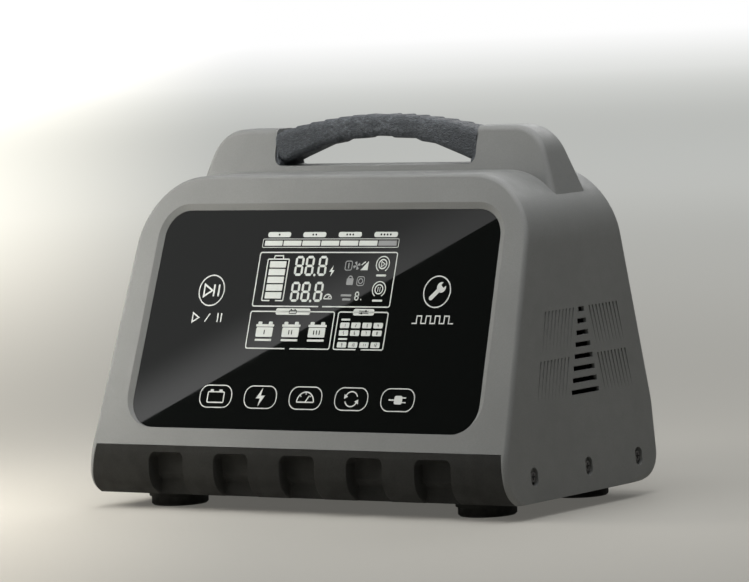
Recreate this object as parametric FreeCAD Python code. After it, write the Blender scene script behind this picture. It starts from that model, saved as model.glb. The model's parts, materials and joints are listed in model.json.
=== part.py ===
import FreeCAD, Part
import math
import os

from FreeCAD import Placement, Rotation, Vector

# Car battery charger, millimetres, +Z up, the front faces -Y.
# The origin lies on the floor, midway between the sides and between nose and rear.

# Body
half_width_at_floor = 179.5
side_draft = 0.072
front_reach = 93.0
front_lean = 0.3552
front_at_floor = 106.6
rear_reach = 93.0
rear_lean = 0.1494
rear_at_floor = 102.6
shell_bottom = 10.5
body_top = 228.0
shoulder_radius = 52.0
shell_wall = 2.6
front_edge_round = 3.5
rear_edge_round = 5.0
nose_bend_radius = 45.0
nose_corner_radius = 18.0
nose_setback = 10.9
nose_rise = 6.7
rear_corner_radius = 19.0
rear_corner_setback = 16.7
rear_corner_rise = 2.9
rear_bend_radius = 40.0

# Carrying block, horns and bar
handle_half_width = 147.0
handle_side_lean = 0.37
handle_front = 16.4
handle_front_lean = 0.23
handle_rear = 49.4
handle_rear_lean = 0.2
handle_wall = 3.0
handle_edge_round = 4.5
horn_top = 258.0
horn_corner_radius = 28.0
hand_gap_half_width = 86.0
hand_gap_corner_radius = 7.0
sill_height = 232.0
bar_top = 267.5
bar_top_radius = 335.0
bar_underside = 251.0
bar_underside_radius = 270.0
grip_wall = 3.2
grip_lining = 2.2
grip_recess = 0.8
grip_edge_round = 5.0
grip_rib_height = 0.9
grip_rib_pitch = 8.6
grip_rib_width = 6.2

# Control window in the front face, measured along that face
lens_half_width_low = 147.5
lens_half_width_high = 142.0
lens_low = 61.6
lens_high = 217.6
lens_corner_radius = 20.0
lens_thickness = 2.0
lens_gap = 0.15
lens_depth = 2.0
tape_thickness = 0.3
bevel_width = 4.5
bevel_width_low = 0.8
seat_thickness = 2.7
seat_margin = 6.0
window_half_width = 110.0
window_low = 72.0
window_high = 206.0
window_corner_radius = 6.0

# Display and its board
lcd_half_width = 62.0
lcd_low = 114.0
lcd_high = 204.0
lcd_air_gap = 0.4
lcd_thickness = 6.5
board_thickness = 1.6
display_board_margin = 12.0
display_boss_inset = 5.5
display_boss_diameter = 7.5
small_screw_diameter = 3.0
small_head_diameter = 5.8
small_head_height = 2.0
screw_hole_clearance = 0.2
touch_spring_diameter = 8.0
touch_spring_wire = 0.8
circle_key_x = 95.7
circle_key_v = 159.2
pad_pitch = 38.5
pad_v = 83.5
buzzer_diameter = 12.0
buzzer_height = 8.0

# Side vents and side screws
slot_count = 8
slot_pitch = 7.87
slot_height = 3.3
top_slot_z = 133.3
slot_front_top = 11.4
slot_front_bottom = -6.6
slot_rear_top = 18.3
slot_rear_bottom = 26.7
groove_count = 9
groove_pitch = 4.2
groove_width = 1.7
groove_depth = 0.9
groove_top_z = 135.0
groove_band_height = 27.0
groove_band_pitch = 32.5
groove_front_start = -28.0
groove_rear_start = 58.3
side_screw_z = 27.7
side_screw_ys = (-60.9, 5.1, 67.0)
side_recess_width = 8.4
side_recess_height = 12.6
side_recess_depth = 3.6
side_cup_wall = 1.8
side_screw_diameter = 3.5
side_screw_length = 12.0
side_head_diameter = 7.0
side_head_height = 2.4

# Base tray and bumper
bumper_top = 45.5
bumper_half_width_high = 171.5
bumper_half_width_low = 176.0
bumper_gap = 0.3
bumper_wall = 3.0
notch_count = 5
notch_pitch = 56.3
notch_width = 29.0
notch_top = 41.0
notch_depth = 6.5
notch_corner_radius = 5.0
tray_floor = 3.0
tray_gap = 0.3
tray_wall = 3.0
tray_wall_top = 38.0
tray_rear = 74.0
tray_tongue_height = 6.5
tray_tongue_thickness = 2.0
tray_boss_diameter = 9.0

# Feet
foot_x = 131.0
foot_front_y = -50.4
foot_rear_y = 62.0
foot_diameter = 40.0
foot_height = 6.5
foot_chamfer = 1.2
foot_collar_diameter = 43.0
foot_screw_diameter = 4.0
foot_screw_length = 15.0
foot_head_diameter = 9.0
foot_head_height = 2.6
foot_head_sink = 0.8
foot_boss_diameter = 12.0

# Rear cover, measured along the rear face as seen from behind
cover_half_width_low = 124.0
cover_half_width_high = 121.0
cover_low = 76.0
cover_high = 208.0
cover_corner_radius = 10.0
cover_thickness = 3.0
cover_gap = 0.25
cover_ledge = 8.0
cover_screw_inset = 5.5
cover_boss_length = 7.0

# Fan
fan_u = 0.0
fan_v = 146.0
fan_size = 80.0
fan_depth = 25.0
fan_bore = 77.0
fan_hole_pitch = 71.5
fan_screw_diameter = 4.0
fan_hub_diameter = 31.0
fan_blade_count = 7
fan_blade_tip_gap = 1.5
fan_blade_thickness = 1.6
fan_shaft_diameter = 3.0
fan_shaft_clearance = 0.05
fan_end_gap = 2.2
grille_ring_width = 3.2
grille_ring_pitch = 6.2
grille_first_radius = 7.0
grille_spoke_width = 3.6

# Mains inlet
inlet_u = -88.0
inlet_v = 104.0
inlet_flange_width = 50.0
inlet_flange_height = 24.0
inlet_flange_thickness = 2.5
inlet_body_width = 28.0
inlet_body_height = 20.4
inlet_body_depth = 18.0
inlet_socket_width = 24.4
inlet_socket_height = 16.6
inlet_socket_depth = 15.5
inlet_key_chamfer = 4.0
inlet_screw_pitch = 40.0
pin_spacing = 7.0
pin_offset = 2.0
pin_width = 2.0
pin_height = 4.0
pin_recess = 7.0
pin_tail = 5.0

# Power switch
switch_u = -88.0
switch_v = 146.0
switch_flange_width = 15.0
switch_flange_height = 21.0
switch_flange_thickness = 2.0
switch_body_width = 12.8
switch_body_height = 19.0
switch_body_depth = 16.0
switch_wall = 1.2
rocker_side_gap = 0.25
rocker_half_length = 7.4
rocker_tilt = 10.0
rocker_pivot_depth = 1.5
rocker_pin_diameter = 2.0
rocker_pin_clearance = 0.05
rocker_pin_length = 0.8

# Output sockets
socket_us = (76.0, 102.0)
socket_v = 104.0
socket_flange_diameter = 21.0
socket_flange_thickness = 2.4
socket_collar_diameter = 17.0
socket_collar_height = 2.6
socket_barrel_diameter = 15.0
socket_barrel_length = 18.0
socket_bore = 8.0
socket_bore_depth = 16.0
contact_wall = 1.2
contact_tail_length = 6.0
socket_nut_width = 20.0
socket_nut_height = 5.0

# Main board and what stands on it
main_board_half_width = 140.0
main_board_front = -66.0
main_board_rear = 60.0
main_board_z = 21.5
main_board_boss_inset = 7.0
heat_sink_length = 92.0
heat_sink_height = 46.0
heat_sink_base = 4.0
heat_sink_fin_length = 22.0
heat_sink_fin_count = 9
heat_sink_fin_thickness = 1.8
transformer_size = 54.0
transformer_height = 44.0
transformer_leg = 16.0
transformer_lift = 4.0
sink_x = {"primary": 62.0, "secondary": -62.0}
sink_y = -6.0
transistor_body = (16.0, 5.0, 21.0)
transistor_pitch = 28.0
transistor_lift = 12.0
bulk_points = ((112.0, -38.0), (112.0, 0.0))
bulk_size = (30.0, 45.0)
output_capacitor_points = ((-108.0, -48.0), (-108.0, -24.0), (-128.0, -36.0))
output_capacitor_size = (16.0, 25.0)
mains_choke_place = (30.0, 42.0, 28.0, 12.0, 14.0)
output_choke_place = (-112.0, 12.0, 40.0, 18.0, 16.0)
relay_place = (-40.0, 46.0)
relay_size = (29.0, 13.0, 25.0)
fuse_point = (112.0, 30.0)
lead_bend_radius = 7.0

# Derived values
front_slope = math.hypot(1, front_lean)
lens_back = lens_depth + lens_thickness
seat_face = lens_back + tape_thickness
seat_back = seat_face + seat_thickness
display_board_face = lens_back + lcd_air_gap + lcd_thickness
display_board_back = display_board_face + board_thickness
main_board_top = main_board_z + board_thickness


def half_width(z):
    """Half of the body's width at height z."""
    return half_width_at_floor - side_draft * z


def front_y(z):
    """Y of the leaning front face at height z."""
    return -front_at_floor + front_lean * z


def rear_y(z):
    """Y of the leaning rear face at height z."""
    return rear_at_floor - rear_lean * z


def corner_marks(before, here, after, radius):
    """Start, middle and end of the arc that rounds one corner, or the corner three times."""
    if radius <= 0:
        return here, None, here
    back = Vector(before - here).normalize()
    ahead = Vector(after - here).normalize()
    half_angle = back.getAngle(ahead) / 2
    reach = radius / math.tan(half_angle)
    bisector = Vector(back + ahead).normalize()
    middle = here + bisector * (radius / math.sin(half_angle) - radius)
    return here + back * reach, middle, here + ahead * reach


def outline(corners, height=0.0):
    """Closed wire through (u, v, corner radius) corners at one height."""
    points = [Vector(u, v, height) for u, v, _ in corners]
    count = len(points)
    marks = []
    for i in range(count):
        after = points[(i + 1) % count]
        marks.append(corner_marks(points[i - 1], points[i], after, corners[i][2]))
    edges = []
    for i in range(count):
        start, middle, end = marks[i]
        if middle is not None:
            edges.append(Part.Arc(start, middle, end).toShape())
        following = marks[(i + 1) % count][0]
        if end.distanceToPoint(following) > 1e-6:
            edges.append(Part.LineSegment(end, following).toShape())
    return Part.Wire(edges)


def inset(corners, gap):
    """The outline with every side moved inward by gap; its corners run anticlockwise."""
    moved = []
    count = len(corners)
    for i in range(count):
        before = Vector(corners[i - 1][0], corners[i - 1][1], 0)
        here = Vector(corners[i][0], corners[i][1], 0)
        after = Vector(corners[(i + 1) % count][0], corners[(i + 1) % count][1], 0)
        along_in = Vector(here - before).normalize()
        along_out = Vector(after - here).normalize()
        inward_in = Vector(-along_in.y, along_in.x, 0)
        inward_out = Vector(-along_out.y, along_out.x, 0)
        corner = here + (inward_in + inward_out) * (gap / (1 + inward_in.dot(inward_out)))
        radius = max(corners[i][2] - gap, 0.0) if corners[i][2] > 0 else 0.0
        moved.append((corner.x, corner.y, radius))
    return moved


def prism(corners, low, high):
    """Straight block on an outline in the XY plane, from low to high along Z."""
    return Part.Face(outline(corners, low)).extrude(Vector(0, 0, high - low))


def rectangle(half_u, low_v, high_v, radius=0.0, centre_u=0.0):
    """Corners of a rectangle, anticlockwise."""
    left, right = centre_u - half_u, centre_u + half_u
    return [(left, low_v, radius), (right, low_v, radius), (right, high_v, radius), (left, high_v, radius)]


def centred(width, height, u, v, radius=0.0):
    """Corners of a rectangle about a centre point, anticlockwise."""
    return rectangle(width / 2, v - height / 2, v + height / 2, radius, u)


def box(x_low, x_high, y_low, y_high, z_low, z_high):
    """Block between two corners."""
    return Part.makeBox(x_high - x_low, y_high - y_low, z_high - z_low, Vector(x_low, y_low, z_low))


def disc(diameter, u, v, low, high):
    """Upright cylinder from low to high."""
    return Part.makeCylinder(diameter / 2, high - low, Vector(u, v, low))


def ring(outer, inner, u, v, low, high):
    """Upright tube from low to high."""
    return disc(outer, u, v, low, high).cut(disc(inner, u, v, low, high))


def placed(shape, placement):
    """Copy of a shape moved by a placement."""
    copy = shape.copy()
    copy.Placement = placement.multiply(copy.Placement)
    return copy


def from_front_view(corners, y_low, y_high):
    """Block whose outline is given in X and Z and which runs along Y."""
    view = Placement(Vector(), Rotation(Vector(1, 0, 0), 90))
    return placed(prism(corners, -y_high, -y_low), view)


def from_side_view(corners, x_low, x_high):
    """Block whose outline is given in Y and Z and which runs along X."""
    view = Placement(Vector(), Rotation(Vector(1, 1, 1), 120))
    return placed(prism(corners, x_low, x_high), view)


# The front face's own frame: u along X, v up the face, w outward.
on_front = Placement(
    Vector(0, -front_at_floor, 0),
    Rotation(Vector(1, 0, 0), math.degrees(math.atan2(1, front_lean))),
)
# The rear face's own frame, seen from behind: u along -X, v up the face, w outward.
on_rear = Placement(
    Vector(0, rear_at_floor, 0),
    Rotation(Vector(1, 0, 0), -math.degrees(math.atan2(1, rear_lean))).multiply(
        Rotation(Vector(0, 0, 1), 180)),
)


def mirrored(shape):
    """The same shape on the other side of the middle plane."""
    return shape.mirror(Vector(), Vector(1, 0, 0))


def body_front_view():
    """Body outline seen from the front, with its rounded shoulders."""
    low = -10.0
    return [
        (-half_width(low), low, 0),
        (half_width(low), low, 0),
        (half_width(body_top), body_top, shoulder_radius),
        (-half_width(body_top), body_top, shoulder_radius),
    ]


def body_side_view():
    """Body outline seen from the side: nose, leaning front, leaning rear, rear corner."""
    above = body_top + 15.0
    front_bend = (front_at_floor - front_reach) / front_lean
    rear_bend = (rear_at_floor - rear_reach) / rear_lean
    return [
        (nose_setback - front_reach, shell_bottom, 0),
        (rear_reach - rear_corner_setback, shell_bottom, 0),
        (rear_reach, shell_bottom + rear_corner_rise, rear_corner_radius),
        (rear_reach, rear_bend, rear_bend_radius),
        (rear_y(above), above, 0),
        (front_y(above), above, 0),
        (-front_reach, front_bend, nose_bend_radius),
        (-front_reach, shell_bottom + nose_rise, nose_corner_radius),
    ]


def lies_on(edge, flat_wire, flatten):
    """Whether an edge, seen in one view, runs along an outline in that view."""
    first, last = edge.ParameterRange
    for share in (0.1, 0.5, 0.9):
        point = edge.valueAt(first + (last - first) * share)
        if flat_wire.distToShape(Part.Vertex(flatten(point)))[0] > 0.01:
            return False
    return True


def crease_edges(block, front_view, side_view, bottom, side):
    """Edges where the two outlines meet, on the front (side -1) or the rear (side 1) of a block."""
    front_wire = outline(front_view)
    side_wire = outline(side_view)
    middle_y = sum(corner[0] for corner in side_view) / len(side_view)
    creases = []
    for edge in block.Edges:
        if edge.BoundBox.ZMax < bottom + 0.01 or (edge.CenterOfMass.y - middle_y) * side < 0:
            continue
        in_front_view = lies_on(edge, front_wire, lambda p: Vector(p.x, p.z, 0))
        if in_front_view and lies_on(edge, side_wire, lambda p: Vector(p.y, p.z, 0)):
            creases.append(edge)
    return creases


def two_view_block(front_view, side_view, front_round, rear_round, bottom):
    """Block with one outline from the front and one from the side, its front and rear edges rounded."""
    reach = 400.0
    block = from_front_view(front_view, -reach, reach).common(from_side_view(side_view, -reach, reach))
    if front_round > 0:
        block = block.makeFillet(front_round, crease_edges(block, front_view, side_view, bottom, -1))
    if rear_round > 0:
        block = block.makeFillet(rear_round, crease_edges(block, front_view, side_view, bottom, 1))
    return block


def handle_front_view():
    """Carrying block seen from the front: sloping sides and rounded horns."""
    foot = body_top - shoulder_radius / 2
    low = handle_half_width + handle_side_lean * (body_top - foot)
    high = handle_half_width - handle_side_lean * (horn_top - body_top)
    return [
        (-low, foot, 0),
        (low, foot, 0),
        (high, horn_top, horn_corner_radius),
        (-high, horn_top, horn_corner_radius),
    ]


def handle_side_view(top, front_back=0.0, rear_back=0.0):
    """Carrying block seen from the side, up to a height, set back by the given amounts."""
    foot = body_top - shoulder_radius / 2

    def front(z):
        return handle_front + front_back + handle_front_lean * (z - body_top)

    def rear(z):
        return handle_rear - rear_back - handle_rear_lean * (z - body_top)

    return [(front(foot), foot, 0), (rear(foot), foot, 0), (rear(top), top, 0), (front(top), top, 0)]


def bar_front_view(underside, top, half_span):
    """Closed wire of the arched bar seen from the front, between two arcs."""
    def low(x):
        return underside - (bar_underside_radius - math.sqrt(bar_underside_radius ** 2 - x ** 2))

    def high(x):
        return top - (bar_top_radius - math.sqrt(bar_top_radius ** 2 - x ** 2))

    left_low = Vector(-half_span, low(half_span), 0)
    right_low = Vector(half_span, low(half_span), 0)
    left_high = Vector(-half_span, high(half_span), 0)
    right_high = Vector(half_span, high(half_span), 0)
    edges = [
        Part.Arc(left_low, Vector(0, underside, 0), right_low).toShape(),
        Part.LineSegment(right_low, right_high).toShape(),
        Part.Arc(right_high, Vector(0, top, 0), left_high).toShape(),
        Part.LineSegment(left_high, left_low).toShape(),
    ]
    return Part.Wire(edges)


def bar(underside, top, half_span, set_back, edge_round):
    """Arched bar of the handle, set back from the block's front and rear, its long edges rounded."""
    view = Placement(Vector(), Rotation(Vector(1, 0, 0), 90))
    reach = 200.0
    face = Part.Face(bar_front_view(underside, top, half_span))
    face.translate(Vector(0, 0, -reach))
    arch = placed(face.extrude(Vector(0, 0, 2 * reach)), view)
    side = handle_side_view(bar_top + 20, set_back, set_back)
    arch = arch.common(from_side_view(side, -reach, reach))
    if edge_round <= 0:
        return arch
    long_edges = []
    for edge in arch.Edges:
        if edge.BoundBox.XLength > half_span:
            long_edges.append(edge)
    return arch.makeFillet(edge_round, long_edges)


def hand_gap_outline(extra=0.0):
    """Gap between the horns, open above, seen from the front."""
    return [
        (-hand_gap_half_width - extra, sill_height - extra, hand_gap_corner_radius),
        (hand_gap_half_width + extra, sill_height - extra, hand_gap_corner_radius),
        (hand_gap_half_width + extra, bar_top + 30, 0),
        (-hand_gap_half_width - extra, bar_top + 30, 0),
    ]


def lens_outline():
    """Outline of the control window on the front face."""
    return [
        (-lens_half_width_low, lens_low, lens_corner_radius),
        (lens_half_width_low, lens_low, lens_corner_radius),
        (lens_half_width_high, lens_high, lens_corner_radius),
        (-lens_half_width_high, lens_high, lens_corner_radius),
    ]


def grown(corners, sides, low, high):
    """Four-cornered outline grown by its own amount at the sides, below and above."""
    grown_corners = []
    for u, v, radius in corners:
        shift_u = sides if u > 0 else -sides
        shift_v = high if v > (lens_low + lens_high) / 2 else -low
        grown_corners.append((u + shift_u, v + shift_v, radius + sides))
    return grown_corners


def window_outline():
    """Opening behind the control window."""
    return rectangle(window_half_width, window_low, window_high, window_corner_radius)


def cover_outline():
    """Outline of the rear cover's seat on the rear face."""
    return [
        (-cover_half_width_low, cover_low, cover_corner_radius),
        (cover_half_width_low, cover_low, cover_corner_radius),
        (cover_half_width_high, cover_high, cover_corner_radius),
        (-cover_half_width_high, cover_high, cover_corner_radius),
    ]


def cover_screw_points():
    """Places of the rear cover's screws: four corners and two half way up."""
    points = []
    for sign in (-1, 1):
        low = cover_low + cover_screw_inset
        high = cover_high - cover_screw_inset
        points.append((sign * (cover_half_width_low - cover_screw_inset), low))
        points.append((sign * (cover_half_width_high - cover_screw_inset), high))
        middle = (cover_half_width_low + cover_half_width_high) / 2 - cover_screw_inset + 0.8
        points.append((sign * middle, (low + high) / 2))
    return points


def display_board_outline():
    """Outline of the display board, which overlaps the window's ledge all round."""
    half = window_half_width + display_board_margin
    return rectangle(half, window_low - display_board_margin / 2, window_high + display_board_margin / 2, 3.0)


def display_screw_points():
    """Places of the display board's four screws."""
    half = window_half_width + display_board_margin - display_boss_inset
    return [(sign * half, v) for sign in (-1, 1) for v in (window_low + 8, window_high - 8)]


def touch_key_points():
    """Centres of the two round keys and the five pads on the front face."""
    points = [(-circle_key_x, circle_key_v), (circle_key_x, circle_key_v)]
    for i in range(5):
        points.append(((i - 2) * pad_pitch, pad_v))
    return points


def side_slots():
    """Cutters of the slots through the right side, a stack that widens downward."""
    cutters = []
    for i in range(slot_count):
        share = i / (slot_count - 1)
        z = top_slot_z - slot_pitch * i
        front = slot_front_top + (slot_front_bottom - slot_front_top) * share
        rear = slot_rear_top + (slot_rear_bottom - slot_rear_top) * share
        x = half_width(z)
        cutters.append(box(x - 4 * shell_wall, x + 5, front, rear, z - slot_height / 2, z + slot_height / 2))
    return cutters


def groove(y_top, lean, z_top, z_bottom):
    """Cutter of one shallow groove in the right side, which fades out downward."""
    def corner(z, side, depth):
        return Vector(half_width(z) - depth, y_top + lean * (z - groove_top_z) + side * groove_width / 2, z)

    inner = [corner(z_top, -1, groove_depth), corner(z_top, 1, groove_depth)]
    foot = [corner(z_bottom, -1, 0), corner(z_bottom, 1, 0)]
    outward = Vector(2, 0, 0)
    sides = []
    for side in (0, 1):
        outer_top = inner[side] + outward + Vector(groove_depth, 0, 0)
        outer_foot = foot[side] + outward
        sides.append(Part.makePolygon([inner[side], foot[side], outer_foot, outer_top, inner[side]]))
    return Part.makeLoft(sides, True, True)


def side_grooves():
    """Cutters of the groove fields in the right side, parallel to the front and rear faces."""
    cutters = []
    for band in range(2):
        z_top = groove_top_z - groove_band_pitch * band
        for i in range(groove_count):
            front = groove_front_start + groove_pitch * i
            rear = groove_rear_start - groove_pitch * i
            cutters.append(groove(front, front_lean, z_top, z_top - groove_band_height))
            cutters.append(groove(rear, -rear_lean, z_top, z_top - groove_band_height))
    return cutters


def side_recess(y, depth_from, depth_to, grow):
    """Oval block set into the right side at a screw, between two depths."""
    width = side_recess_width + 2 * grow
    height = side_recess_height + 2 * grow
    x = half_width(side_screw_z)
    corners = centred(width, height, y, side_screw_z, width / 2 - 0.01)
    return from_side_view(corners, x - depth_to, x - depth_from)


def both_sides(shapes):
    """The shapes of the right side together with their mirror images."""
    return shapes + [mirrored(shape) for shape in shapes]


def main_shell():
    """Grey wrap-round cover: front, top, sides, rear frame and the carrying block with its bar core."""
    body = two_view_block(body_front_view(), body_side_view(), front_edge_round, rear_edge_round,
                          shell_bottom)
    block = two_view_block(handle_front_view(), handle_side_view(horn_top + 15), handle_edge_round,
                           handle_edge_round, body_top - shoulder_radius / 2)
    gap = from_front_view(hand_gap_outline(), -200, 200)
    block = block.cut(gap)
    core = bar(bar_underside + grip_wall, bar_top - grip_wall, hand_gap_half_width + 1.0,
               grip_recess + grip_wall, 0)
    shell = body.fuse([block, core])

    cavity = two_view_block(inset(body_front_view(), shell_wall), inset(body_side_view(), shell_wall), 0,
                            max(rear_edge_round - shell_wall, 0.5), shell_bottom + shell_wall)
    mouth_half = half_width(shell_bottom) - shell_wall * 1.05
    mouth = box(-mouth_half, mouth_half, nose_setback - front_reach + 1, rear_reach - rear_corner_setback - 1,
                shell_bottom - 1, shell_bottom + 3 * shell_wall)
    block_cavity = from_front_view(inset(handle_front_view(), handle_wall), -200, 200).common(
        from_side_view(handle_side_view(horn_top + 15, handle_wall, handle_wall), -200, 200))
    block_cavity = block_cavity.cut(from_front_view(hand_gap_outline(handle_wall), -200, 200))
    shell = shell.cut([cavity, mouth, block_cavity])

    front_seat = placed(prism(grown(lens_outline(), seat_margin, seat_margin, seat_margin),
                              -seat_back, -shell_wall / 2), on_front)
    rear_seat = placed(prism(inset(cover_outline(), -seat_margin / 2),
                             -cover_thickness - seat_thickness, -shell_wall / 2), on_rear)
    additions = [front_seat, rear_seat]
    for u, v in display_screw_points():
        boss = disc(display_boss_diameter, u, v, -display_board_face, -seat_back + 0.5)
        additions.append(placed(boss, on_front))
    for u, v in cover_screw_points():
        boss_top = -cover_thickness - seat_thickness
        boss_end = -cover_thickness - cover_boss_length
        boss = disc(display_boss_diameter, u, v, boss_end, boss_top + 0.5)
        additions.append(placed(boss, on_rear))
    cups = [side_recess(y, shell_wall / 2, side_recess_depth + side_cup_wall, side_cup_wall)
            for y in side_screw_ys]
    additions += both_sides(cups)
    shell = shell.fuse(additions)

    bevel_outer = grown(lens_outline(), bevel_width, bevel_width_low, bevel_width)
    bevel_inner = inset(lens_outline(), -lens_gap)
    bevel = Part.makeLoft([outline(bevel_outer, 0.02), outline(bevel_inner, -lens_depth)], True, True)
    cuts = [placed(bevel, on_front)]
    cuts.append(placed(prism(bevel_inner, -seat_face, -lens_depth + 0.1), on_front))
    cuts.append(placed(prism(window_outline(), -seat_back - 1, -seat_face + 1), on_front))
    for u, v in display_screw_points():
        hole = disc(small_screw_diameter, u, v, -display_board_face - 1, -seat_face - 0.8)
        cuts.append(placed(hole, on_front))
    cuts.append(placed(prism(cover_outline(), -cover_thickness, 1), on_rear))
    cuts.append(placed(prism(inset(cover_outline(), cover_ledge), -30, -cover_thickness + 1)
                       .cut(cover_bosses()), on_rear))
    for u, v in cover_screw_points():
        hole = disc(small_screw_diameter, u, v, -cover_thickness - cover_boss_length - 1, 1)
        cuts.append(placed(hole, on_rear))
    side_cuts = side_slots() + side_grooves()
    for y in side_screw_ys:
        x = half_width(side_screw_z)
        side_cuts.append(side_recess(y, -4, side_recess_depth, 0))
        side_cuts.append(Part.makeCylinder(side_screw_diameter / 2, 20, Vector(x - 15, y, side_screw_z),
                                           Vector(1, 0, 0)))
    cuts += both_sides(side_cuts)
    cuts.append(from_front_view(bumper_opening(), -front_reach - 20, -front_reach + 40))
    return shell.cut(cuts)


def cover_bosses():
    """Material that stays round the rear cover's screws."""
    bosses = []
    for u, v in cover_screw_points():
        boss_top = -cover_thickness
        bosses.append(disc(display_boss_diameter, u, v, boss_top - cover_boss_length, boss_top))
    return Part.makeCompound(bosses)


def bumper_opening(gap=0.0):
    """Opening for the bumper low in the front of the shell, seen from the front."""
    low = shell_bottom - 5
    slope = (bumper_half_width_low - bumper_half_width_high) / (bumper_top - shell_bottom)
    wide = bumper_half_width_low + slope * (shell_bottom - low) - gap
    high = bumper_half_width_high - gap
    return [(-wide, low, 0), (wide, low, 0), (high, bumper_top - gap, 0), (-high, bumper_top - gap, 0)]


def handle_grip():
    """Rubber sleeve with cross ribs on the carrying bar and a lining on the horns' inner walls."""
    smooth = bar(bar_underside, bar_top - grip_rib_height, hand_gap_half_width, grip_recess,
                 grip_edge_round)
    full = bar(bar_underside - grip_rib_height, bar_top, hand_gap_half_width, grip_recess / 2,
               grip_edge_round)
    centre_z = bar_top - bar_top_radius
    count = int(hand_gap_half_width * 0.96 / grip_rib_pitch)
    wedges = []
    for i in range(-count, count + 1):
        angle = math.degrees(grip_rib_pitch * i / bar_top_radius)
        wedge = box(-grip_rib_width / 2, grip_rib_width / 2, -50, 150, bar_top_radius - 60,
                    bar_top_radius + 20)
        wedge.rotate(Vector(), Vector(0, 1, 0), angle)
        wedge.translate(Vector(0, 0, centre_z))
        wedges.append(wedge)
    ribs = full.common(Part.makeCompound(wedges))
    lining_side = handle_side_view(bar_underside, grip_recess, grip_recess)
    lining_start = hand_gap_half_width - 0.6 * hand_gap_corner_radius
    lining = from_side_view(lining_side, lining_start, hand_gap_half_width)
    lining = lining.cut(from_front_view(inset(hand_gap_outline(), grip_lining), -200, 200))
    core = bar(bar_underside + grip_wall, bar_top - grip_wall, hand_gap_half_width + 1.0,
               grip_recess + grip_wall, 0)
    sleeve = smooth.fuse([ribs, lining, mirrored(lining)])
    return sleeve.common(from_front_view(hand_gap_outline(), -200, 200)).cut(core)


def control_lens():
    """Glossy window that carries the printed keys and covers the display."""
    return placed(prism(lens_outline(), -lens_back, -lens_depth), on_front)


def lens_tape():
    """Adhesive frame between the window and its ledge."""
    outer = prism(inset(lens_outline(), 1.0), -seat_face, -lens_back)
    inner_corners = rectangle(window_half_width + 1.0, window_low - 1.0, window_high + 1.0,
                              window_corner_radius)
    return placed(outer.cut(prism(inner_corners, -seat_face - 1, -lens_back + 1)), on_front)


def lcd_module():
    """Liquid crystal display with its backlight frame."""
    module = rectangle(lcd_half_width, lcd_low, lcd_high, 1.5)
    body = prism(module, -display_board_face, -lens_back - lcd_air_gap - 1.6)
    glass = prism(inset(module, 1.2), -lens_back - lcd_air_gap - 1.6, -lens_back - lcd_air_gap)
    return placed(body.fuse(glass), on_front)


def display_board():
    """Circuit board behind the window with its screw holes."""
    board = prism(display_board_outline(), -display_board_back, -display_board_face)
    holes = [disc(small_screw_diameter, u, v, -display_board_back - 1, -display_board_face + 1)
             for u, v in display_screw_points()]
    return placed(board.cut(holes), on_front)


def pan_screw(u, v, seat, shank_end, diameter, head_diameter, head_height, outward):
    """Screw along w: its head starts at seat and grows outward, its shank ends at shank_end."""
    low, high = sorted((seat, seat + outward * head_height))
    head = disc(head_diameter, u, v, low, high)
    low, high = sorted((seat, shank_end))
    return head.fuse(disc(diameter, u, v, low, high))


def display_board_screws():
    """Four screws that hold the display board to the bosses behind the front."""
    screws = [pan_screw(u, v, -display_board_back, -seat_face - 1.2, small_screw_diameter,
                        small_head_diameter, small_head_height, -1)
              for u, v in display_screw_points()]
    return placed(Part.makeCompound(screws), on_front)


def touch_springs():
    """Seven contact springs between the board and the back of the window, one behind each key."""
    springs = []
    bore = touch_spring_diameter - 2 * touch_spring_wire
    for u, v in touch_key_points():
        springs.append(ring(touch_spring_diameter, bore, u, v, -display_board_face, -lens_back))
    return placed(Part.makeCompound(springs), on_front)


def buzzer():
    """Round sounder on the back of the display board."""
    u = window_half_width - 20
    body = disc(buzzer_diameter, u, window_low + 14, -display_board_back - buzzer_height, -display_board_back)
    hole = disc(2.0, u, window_low + 14, -display_board_back - buzzer_height - 1,
                -display_board_back - buzzer_height + 1.5)
    return placed(body.cut(hole), on_front)


def grille_cutter():
    """Ring slots of the fan grille, interrupted by four spokes."""
    rings = []
    radius = grille_first_radius
    while radius + grille_ring_width < fan_bore / 2:
        rings.append(ring(2 * (radius + grille_ring_width), 2 * radius, fan_u, fan_v,
                          -cover_thickness - 1, 1))
        radius += grille_ring_pitch
    spokes = []
    for i in range(2):
        spoke = prism(centred(fan_bore + 4, grille_spoke_width, 0, 0), -cover_thickness - 2, 2)
        spoke.rotate(Vector(), Vector(0, 0, 1), 45 + 90 * i)
        spoke.translate(Vector(fan_u, fan_v, 0))
        spokes.append(spoke)
    return Part.makeCompound(rings).cut(spokes)


def fan_screw_points():
    """Places of the four fan screws."""
    half = fan_hole_pitch / 2
    return [(fan_u + i * half, fan_v + j * half) for i in (-1, 1) for j in (-1, 1)]


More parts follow.
